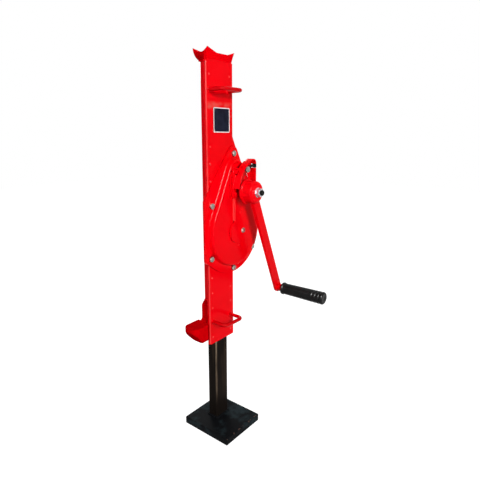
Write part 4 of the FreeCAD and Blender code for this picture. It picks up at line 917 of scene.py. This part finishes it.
def coverFoot():
    axis = middleOf(*boxCorners(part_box("main_gear")))
    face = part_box("cover_bolts")[0][1] + boltLook["head"] + footLook["sunk"]
    rise = footLook["radius"]
    grow = rise - footLook["draft"]
    rounds = []
    centres = ((axis.x, axis.z), footLook["top"])
    for (x, z), radius in zip(centres, footLook["dome"]):
        selectOnly()
        bpy.ops.mesh.primitive_cylinder_add(
            vertices=footLook["sides"], radius=radius + grow, depth=rise,
            location=(x, face - rise / 2, z), rotation=alongY)
        rounds.append(bpy.context.object)
    skirt = joinPieces("coverFoot", rounds)
    openWhole(skirt)
    bpy.ops.mesh.convex_hull()
    bpy.ops.mesh.dissolve_limited(angle_limit=footLook["flat"])
    closeMesh()
    front = face - rise
    hollowEdge(skirt, lambda point: abs(point.y - front) < mergeGap, rise)
    pickFaces(
        skirt, lambda side: abs(side.normal.y) > facing and side.area > footLook["endArea"])
    bpy.ops.mesh.delete(type="FACE")
    closeMesh()
    skin = skirt.modifiers.new("skin", "SOLIDIFY")
    skin.thickness = footLook["skin"]
    skin.offset = -1
    applyModifiers(skirt)
    smoothShading(skirt)
    finishPiece(skirt, "lift", "red_paint", red)


coverFoot()
print("cover foot bent")


# the claw as forged, every edge rounded by the die

clawLook = {"voxel": 1.6 * mm, "rounds": 15}


def forgedClaw():
    obj = bpy.data.objects.new("forgedClaw", nodes["claw"].data.copy())
    bpy.context.collection.objects.link(obj)
    selectOnly(obj)
    bpy.ops.mesh.customdata_custom_splitnormals_clear()
    openWhole(obj)
    bpy.ops.mesh.remove_doubles(threshold=mergeGap)
    closeMesh()
    meltShape(obj, clawLook["voxel"], clawLook["rounds"])
    low, high = boxCorners(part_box("claw"))  # smoothing shrinks it, so it grows back
    spans = [[vertex.co[axis] for vertex in obj.data.vertices] for axis in range(3)]
    sizes = [max(span) - min(span) for span in spans]
    grow = [(high[axis] - low[axis]) / sizes[axis] for axis in range(3)]
    middle = Vector([(max(span) + min(span)) / 2 for span in spans])
    openWhole(obj)
    bpy.ops.transform.resize(value=grow, center_override=middle)
    bpy.ops.transform.translate(value=middleOf(low, high) - middle)
    closeMesh()
    finishPiece(obj, "lift", "red_paint", castRed, "claw")


forgedClaw()
print("claw forged")


# weld beads, laid as overlapping drops

weldLook = {
    "foot": {"radius": 3.2 * mm, "step": 2.2 * mm, "inset": 0.6 * mm, "voxel": 0.7 * mm},
    "handle": {"radius": 2.3 * mm, "drops": 14, "inset": 0.7 * mm, "voxel": 0.45 * mm},
    "claw": {
        "radius": 2.7 * mm,
        "step": 2.2 * mm,
        "inset": 1.5 * mm,
        "voxel": 0.6 * mm,
        "side": 44 * mm,  # length of the upright bead
        "sideInset": 1 * mm,
        "sideProud": 0.8 * mm,
    },
}
dropShape = {"sides": 14, "rings": 8, "rounds": 2}


def layBead(points, radius):
    selectOnly()
    bpy.ops.mesh.primitive_uv_sphere_add(
        segments=dropShape["sides"], ring_count=dropShape["rings"], radius=radius,
        location=points[0])
    drop = bpy.context.object
    return [drop] + [copyTo(drop, point) for point in points[1:]]


def meltBeads(name, drops, voxel):
    bead = joinPieces(name, drops)
    meltShape(bead, voxel, dropShape["rounds"])
    return bead


def pointsAlong(start, end, step):
    run = end - start
    count = max(1, round(run.length / step))
    return [start + run * (k / count) for k in range(count + 1)]


def footWeld():
    look = weldLook["foot"]
    rackLow, rackHigh = boxCorners(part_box("rack"))
    x = rackHigh.x + look["inset"]
    y = rackHigh.y + look["inset"]
    z = rackLow.z + look["inset"]
    corners = [Vector((x, y, z)), Vector((-x, y, z)), Vector((-x, -y, z)), Vector((x, -y, z))]
    drops = []
    for k in range(4):
        drops += layBead(pointsAlong(corners[k - 1], corners[k], look["step"]), look["radius"])
    bead = meltBeads("footWeld", drops, look["voxel"])
    finishPiece(bead, "stand", "black_steel", baseBlack, "foot_weld")


def handleWelds():
    look = weldLook["handle"]
    drops = []
    for low, high in solidBoxes("handle_welds"):
        centre = middleOf(low, high)
        ring = (high.x - low.x) / 2 - look["radius"] + look["inset"]
        points = []
        for k in range(look["drops"]):
            angle = 2 * math.pi * k / look["drops"]
            out = Vector((math.cos(angle), 0, math.sin(angle)))
            points.append(Vector((centre.x, high.y, centre.z)) + out * ring)
        drops += layBead(points, look["radius"])
    bead = meltBeads("handleWelds", drops, look["voxel"])
    finishPiece(bead, "lift", "red_paint", red, "handle_welds")


def clawWelds():
    look = weldLook["claw"]
    boxes = sorted(solidBoxes("claw_welds"), key=lambda box: box[0].z)
    runs = []
    for low, high in boxes:
        start = Vector((high.x - look["inset"], low.y, (low.z + high.z) / 2))
        runs.append((start, Vector((start.x, high.y, start.z))))
    low, high = boxes[1]
    start = Vector((high.x - look["sideInset"], low.y - look["sideProud"], low.z - look["side"]))
    runs.append((start, Vector((start.x, start.y, low.z))))
    drops = []
    for start, end in runs:
        drops += layBead(pointsAlong(start, end, look["step"]), look["radius"])
    bead = meltBeads("clawWelds", drops, look["voxel"])
    finishPiece(bead, "lift", "red_paint", red, "claw_welds")


spotLook = {
    "crown": 3.4 * mm,
    "height": 1.7 * mm,
    "sunk": 0.3 * mm,
    "fromEdge": 11 * mm,
    "pitch": 40 * mm,
    "endMargin": 18 * mm,
    "clear": 13 * mm,
    "sides": 32,
    "rings": 48,
}


def spotCap():  # the top of a sphere, cut off flat
    crown = spotLook["crown"]
    selectOnly()
    bpy.ops.mesh.primitive_uv_sphere_add(
        segments=spotLook["sides"], ring_count=spotLook["rings"], radius=crown,
        location=(0, crown, 0), rotation=alongY)
    spot = bpy.context.object
    freezeTransform()
    openWhole(spot)
    bpy.ops.mesh.bisect(
        plane_co=(0, spotLook["height"], 0), plane_no=(0, 1, 0), use_fill=True, clear_outer=True)
    closeMesh()
    smoothShading(spot)
    return spot


def spotWelds():  # two columns that hold the plate to the channel
    low, high = boxCorners(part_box("front_plate"))
    channelLow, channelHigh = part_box("housing_channel")
    feet = solidBoxes("handle_welds")
    margin, clear = spotLook["endMargin"], spotLook["clear"]
    spot = spotCap()
    spots = []
    rows = int((high.z - low.z - 2 * margin) / spotLook["pitch"])
    columns = (
        (channelLow[0] + spotLook["fromEdge"], ("main_gear", "nameplate")),
        (channelHigh[0] - spotLook["fromEdge"], ("gear_cover", "nameplate")))
    for x, covering in columns:
        inTheWay = feet + [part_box(node) for node in covering]
        for k in range(rows + 1):
            z = low.z + margin + k * spotLook["pitch"]
            blocked = any(
                box[0][0] - clear < x < box[1][0] + clear
                and box[0][2] - clear < z < box[1][2] + clear for box in inTheWay)
            if not blocked:
                y = low.y - spotLook["height"] + spotLook["sunk"]
                spots.append(copyTo(spot, (x, y, z)))
    selectOnly(spot)
    bpy.ops.object.delete()
    obj = joinPieces("spotWelds", spots)
    # painted highlight: the weld spots take the paler highlight red
    finishPiece(obj, "lift", "red_paint", highlightRed)


rodShape = {"sides": 24, "round": 1.2 * mm, "steps": 3}


def cornerRod(x, y, zLow, zHigh, radius):
    selectOnly()
    bpy.ops.mesh.primitive_cylinder_add(
        vertices=rodShape["sides"], radius=radius, depth=zHigh - zLow,
        location=(x, y, (zLow + zHigh) / 2))
    rod = bpy.context.object
    softenEdges(rod, rodShape["round"], rodShape["steps"])
    smoothShading(rod)
    return rod


seamBeadLook = {"radius": 1.9 * mm, "sunk": 0.9 * mm, "endGap": 3 * mm}


def plateSeam():  # ground seam weld along the left corner of the plate
    low, high = boxCorners(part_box("front_plate"))
    sunk, gap = seamBeadLook["sunk"], seamBeadLook["endGap"]
    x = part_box("housing_channel")[0][0] + sunk
    bead = cornerRod(x, low.y + sunk, low.z + gap, high.z - gap, seamBeadLook["radius"])
    obj = joinPieces("plateSeam", [bead])
    # painted highlight: the seam takes the paler highlight red
    finishPiece(obj, "lift", "red_paint", highlightRed)


padLook = {
    "left": 24 * mm,
    "height": 5 * mm,
    "from": 566 * mm,
    "to": 627 * mm,
    "rim": 1.4 * mm,
    "rimSunk": 1.1 * mm,
    "foot": 1.8 * mm,
    "footSunk": 0.5 * mm,
}


def padEdge():  # bends at the rim and at the foot of the raised pad
    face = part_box("gear_cover")[0][1]
    left, bottom, top = (padLook[key] for key in ("left", "from", "to"))
    sunk = padLook["rimSunk"]
    rim = cornerRod(left + sunk, face + sunk, bottom, top, padLook["rim"])
    sunk = padLook["footSunk"]
    foot = cornerRod(left - sunk, face + padLook["height"] - sunk, bottom, top, padLook["foot"])
    obj = joinPieces("padEdge", [rim, foot])
    # painted highlight: the pad's bends take the paler highlight red
    finishPiece(obj, "lift", "red_paint", highlightRed)


footWeld()
plateSeam()
padEdge()
handleWelds()
clawWelds()
spotWelds()
print("welds laid")


# pale raised border of the bare nameplate

borderLook = {
    "corner": 3.0 * mm,
    "cornerSteps": 6,
    "width": 2.3 * mm,
    "rise": 0.5 * mm,
    "sunk": 0.1 * mm,
    "edge": 0.15 * mm,
}


def nameplateBorder():
    low, high = boxCorners(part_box("nameplate"))
    centre = middleOf(low, high)
    selectOnly()
    bpy.ops.mesh.primitive_plane_add(
        size=1, location=(centre.x, low.y + borderLook["sunk"], centre.z), rotation=alongY)
    border = bpy.context.object
    border.scale = (high.x - low.x, high.z - low.z, 1)
    freezeTransform()
    openWhole(border)
    bpy.ops.mesh.bevel(
        offset=borderLook["corner"], segments=borderLook["cornerSteps"], affect="VERTICES")
    bpy.ops.mesh.select_all(action="SELECT")
    bpy.ops.mesh.inset(thickness=borderLook["width"])
    bpy.ops.mesh.delete(type="FACE")
    closeMesh()
    thicken = border.modifiers.new("thicken", "SOLIDIFY")
    thicken.thickness = borderLook["rise"]
    thicken.offset = 1
    softenEdges(border, borderLook["edge"], angle=smoothAngle)
    obj = joinPieces("nameplateBorder", [border])
    finishPiece(obj, "lift", "zinc", plateBorder)


nameplateBorder()
print("nameplate framed")


# ground weld that closes the seam under the head

seamLook = {
    "height": 4 * mm,
    "depth": 2.5 * mm,
    "proud": 0.04 * mm,
    "edge": 0.3 * mm,
    "endGap": 3 * mm,
}


def headSeam():
    headLow = Vector(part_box("jack_head")[0])
    plateLow = Vector(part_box("front_plate")[0])
    left = headLow.x + seamLook["edge"]
    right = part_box("housing_channel")[1][0] - seamLook["endGap"]
    front = plateLow.y - seamLook["proud"]
    selectOnly()
    bpy.ops.mesh.primitive_cube_add(size=1)
    seam = bpy.context.object
    seam.scale = (right - left, seamLook["depth"], seamLook["height"])
    seam.location = ((right + left) / 2, front + seamLook["depth"] / 2, headLow.z)
    freezeTransform()
    softenEdges(seam, seamLook["edge"])
    obj = joinPieces("headSeam", [seam])
    finishPiece(obj, "lift", "red_paint", red)


headSeam()
print("head seam ground")


# floor, light and camera

def addSeen(tree, *kinds):  # 1 for a ray of any of these kinds
    rays = tree.nodes.new("ShaderNodeLightPath").outputs
    seen = rays[kinds[0]]
    for kind in kinds[1:]:
        seen = addMath(tree, "MAXIMUM", seen, rays[kind])
    return seen


stageLook = {"size": 12.0, "drop": 0.5 * mm, "white": 0.35, "glow": 0.9}


def studioFloor():
    selectOnly()
    bpy.ops.mesh.primitive_plane_add(
        size=stageLook["size"], location=(0, 0, -stageLook["drop"]))
    floor = bpy.context.object
    floor.name = "studioFloor"
    material = bpy.data.materials.new("studioFloor")
    material.use_nodes = True
    tree = material.node_tree
    shader = tree.nodes["Principled BSDF"]
    shader.inputs["Base Color"].default_value = (stageLook["white"],) * 3 + (1,)
    shader.inputs["Roughness"].default_value = 1.0
    shader.inputs["Specular IOR Level"].default_value = 0.0
    seen = addSeen(tree, "Is Camera Ray", "Is Glossy Ray")
    glow = addMath(tree, "MULTIPLY", seen, stageLook["glow"])
    shader.inputs["Emission Color"].default_value = (1, 1, 1, 1)
    tree.links.new(glow, shader.inputs["Emission Strength"])
    floor.data.materials.append(material)


worldLook = {"backdrop": 1.0, "ambient": 0.34}


def studioWorld():
    world = bpy.data.worlds.new("studioWorld")
    world.use_nodes = True
    bpy.context.scene.world = world
    tree = world.node_tree
    sky = tree.nodes["Background"]
    sky.inputs["Color"].default_value = (1, 1, 1, 1)
    seen = addSeen(tree, "Is Camera Ray", "Is Glossy Ray", "Is Transmission Ray")
    strength = addRange(tree, seen, 0.0, 1.0, worldLook["ambient"], worldLook["backdrop"])
    tree.links.new(strength, sky.inputs["Strength"])


lampLook = {
    "keyLamp": {"place": (-1.0, -2.2, 1.4), "power": 29.0, "size": (0.3, 0.3)},
    "stripLamp": {"place": (-1.0, -2.2, 1.0), "power": 14.0, "size": (0.06, 1.8)},
    "domeGlint": {
        "place": (-1.35, -1.85, 1.95), "power": 420.0, "size": (0.24, 0.7), "glossOnly": True},
    "edgeGlint": {
        "place": (-2.17, -1.01, 0.68), "power": 18.0, "size": (0.1, 1.25), "glossOnly": True},
    "fillLamp": {"place": (-2.0, -0.2, 2.0), "power": 14.0, "size": (0.6, 0.6)},
    "backLamp": {"place": (1.4, 2.2, 1.7), "power": 26.0, "size": (0.8, 0.8)},
}
aim = Vector((0, 0, 0.5))


def studioLamps():
    for name, look in lampLook.items():
        lamp = bpy.data.lights.new(name, "AREA")
        lamp.energy = look["power"]
        lamp.shape = "RECTANGLE"
        lamp.size, lamp.size_y = look["size"]
        obj = bpy.data.objects.new(name, lamp)
        obj.location = look["place"]
        obj.rotation_euler = (aim - obj.location).to_track_quat("-Z", "Y").to_euler()
        obj.visible_diffuse = not look.get("glossOnly", False)
        bpy.context.collection.objects.link(obj)


cameraLook = {
    "place": (-0.7940, -0.7191, 0.7756),
    "yaw": math.radians(51.06),
    "pitch": math.radians(13.64),
    "lens": 32.53,
    "sensor": 36.0,
    "clip": 0.01,
}


def photoCamera():
    camera = bpy.data.cameras.new("photoCamera")
    camera.lens = cameraLook["lens"]
    camera.sensor_width = cameraLook["sensor"]
    camera.clip_start = cameraLook["clip"]
    obj = bpy.data.objects.new("photoCamera", camera)
    obj.location = cameraLook["place"]
    obj.rotation_euler = (math.pi / 2 - cameraLook["pitch"], 0, -cameraLook["yaw"])
    bpy.context.collection.objects.link(obj)
    bpy.context.scene.camera = obj


studioFloor()
studioWorld()
studioLamps()
photoCamera()
bpy.context.scene.view_settings.view_transform = "Standard"
print("stage set")
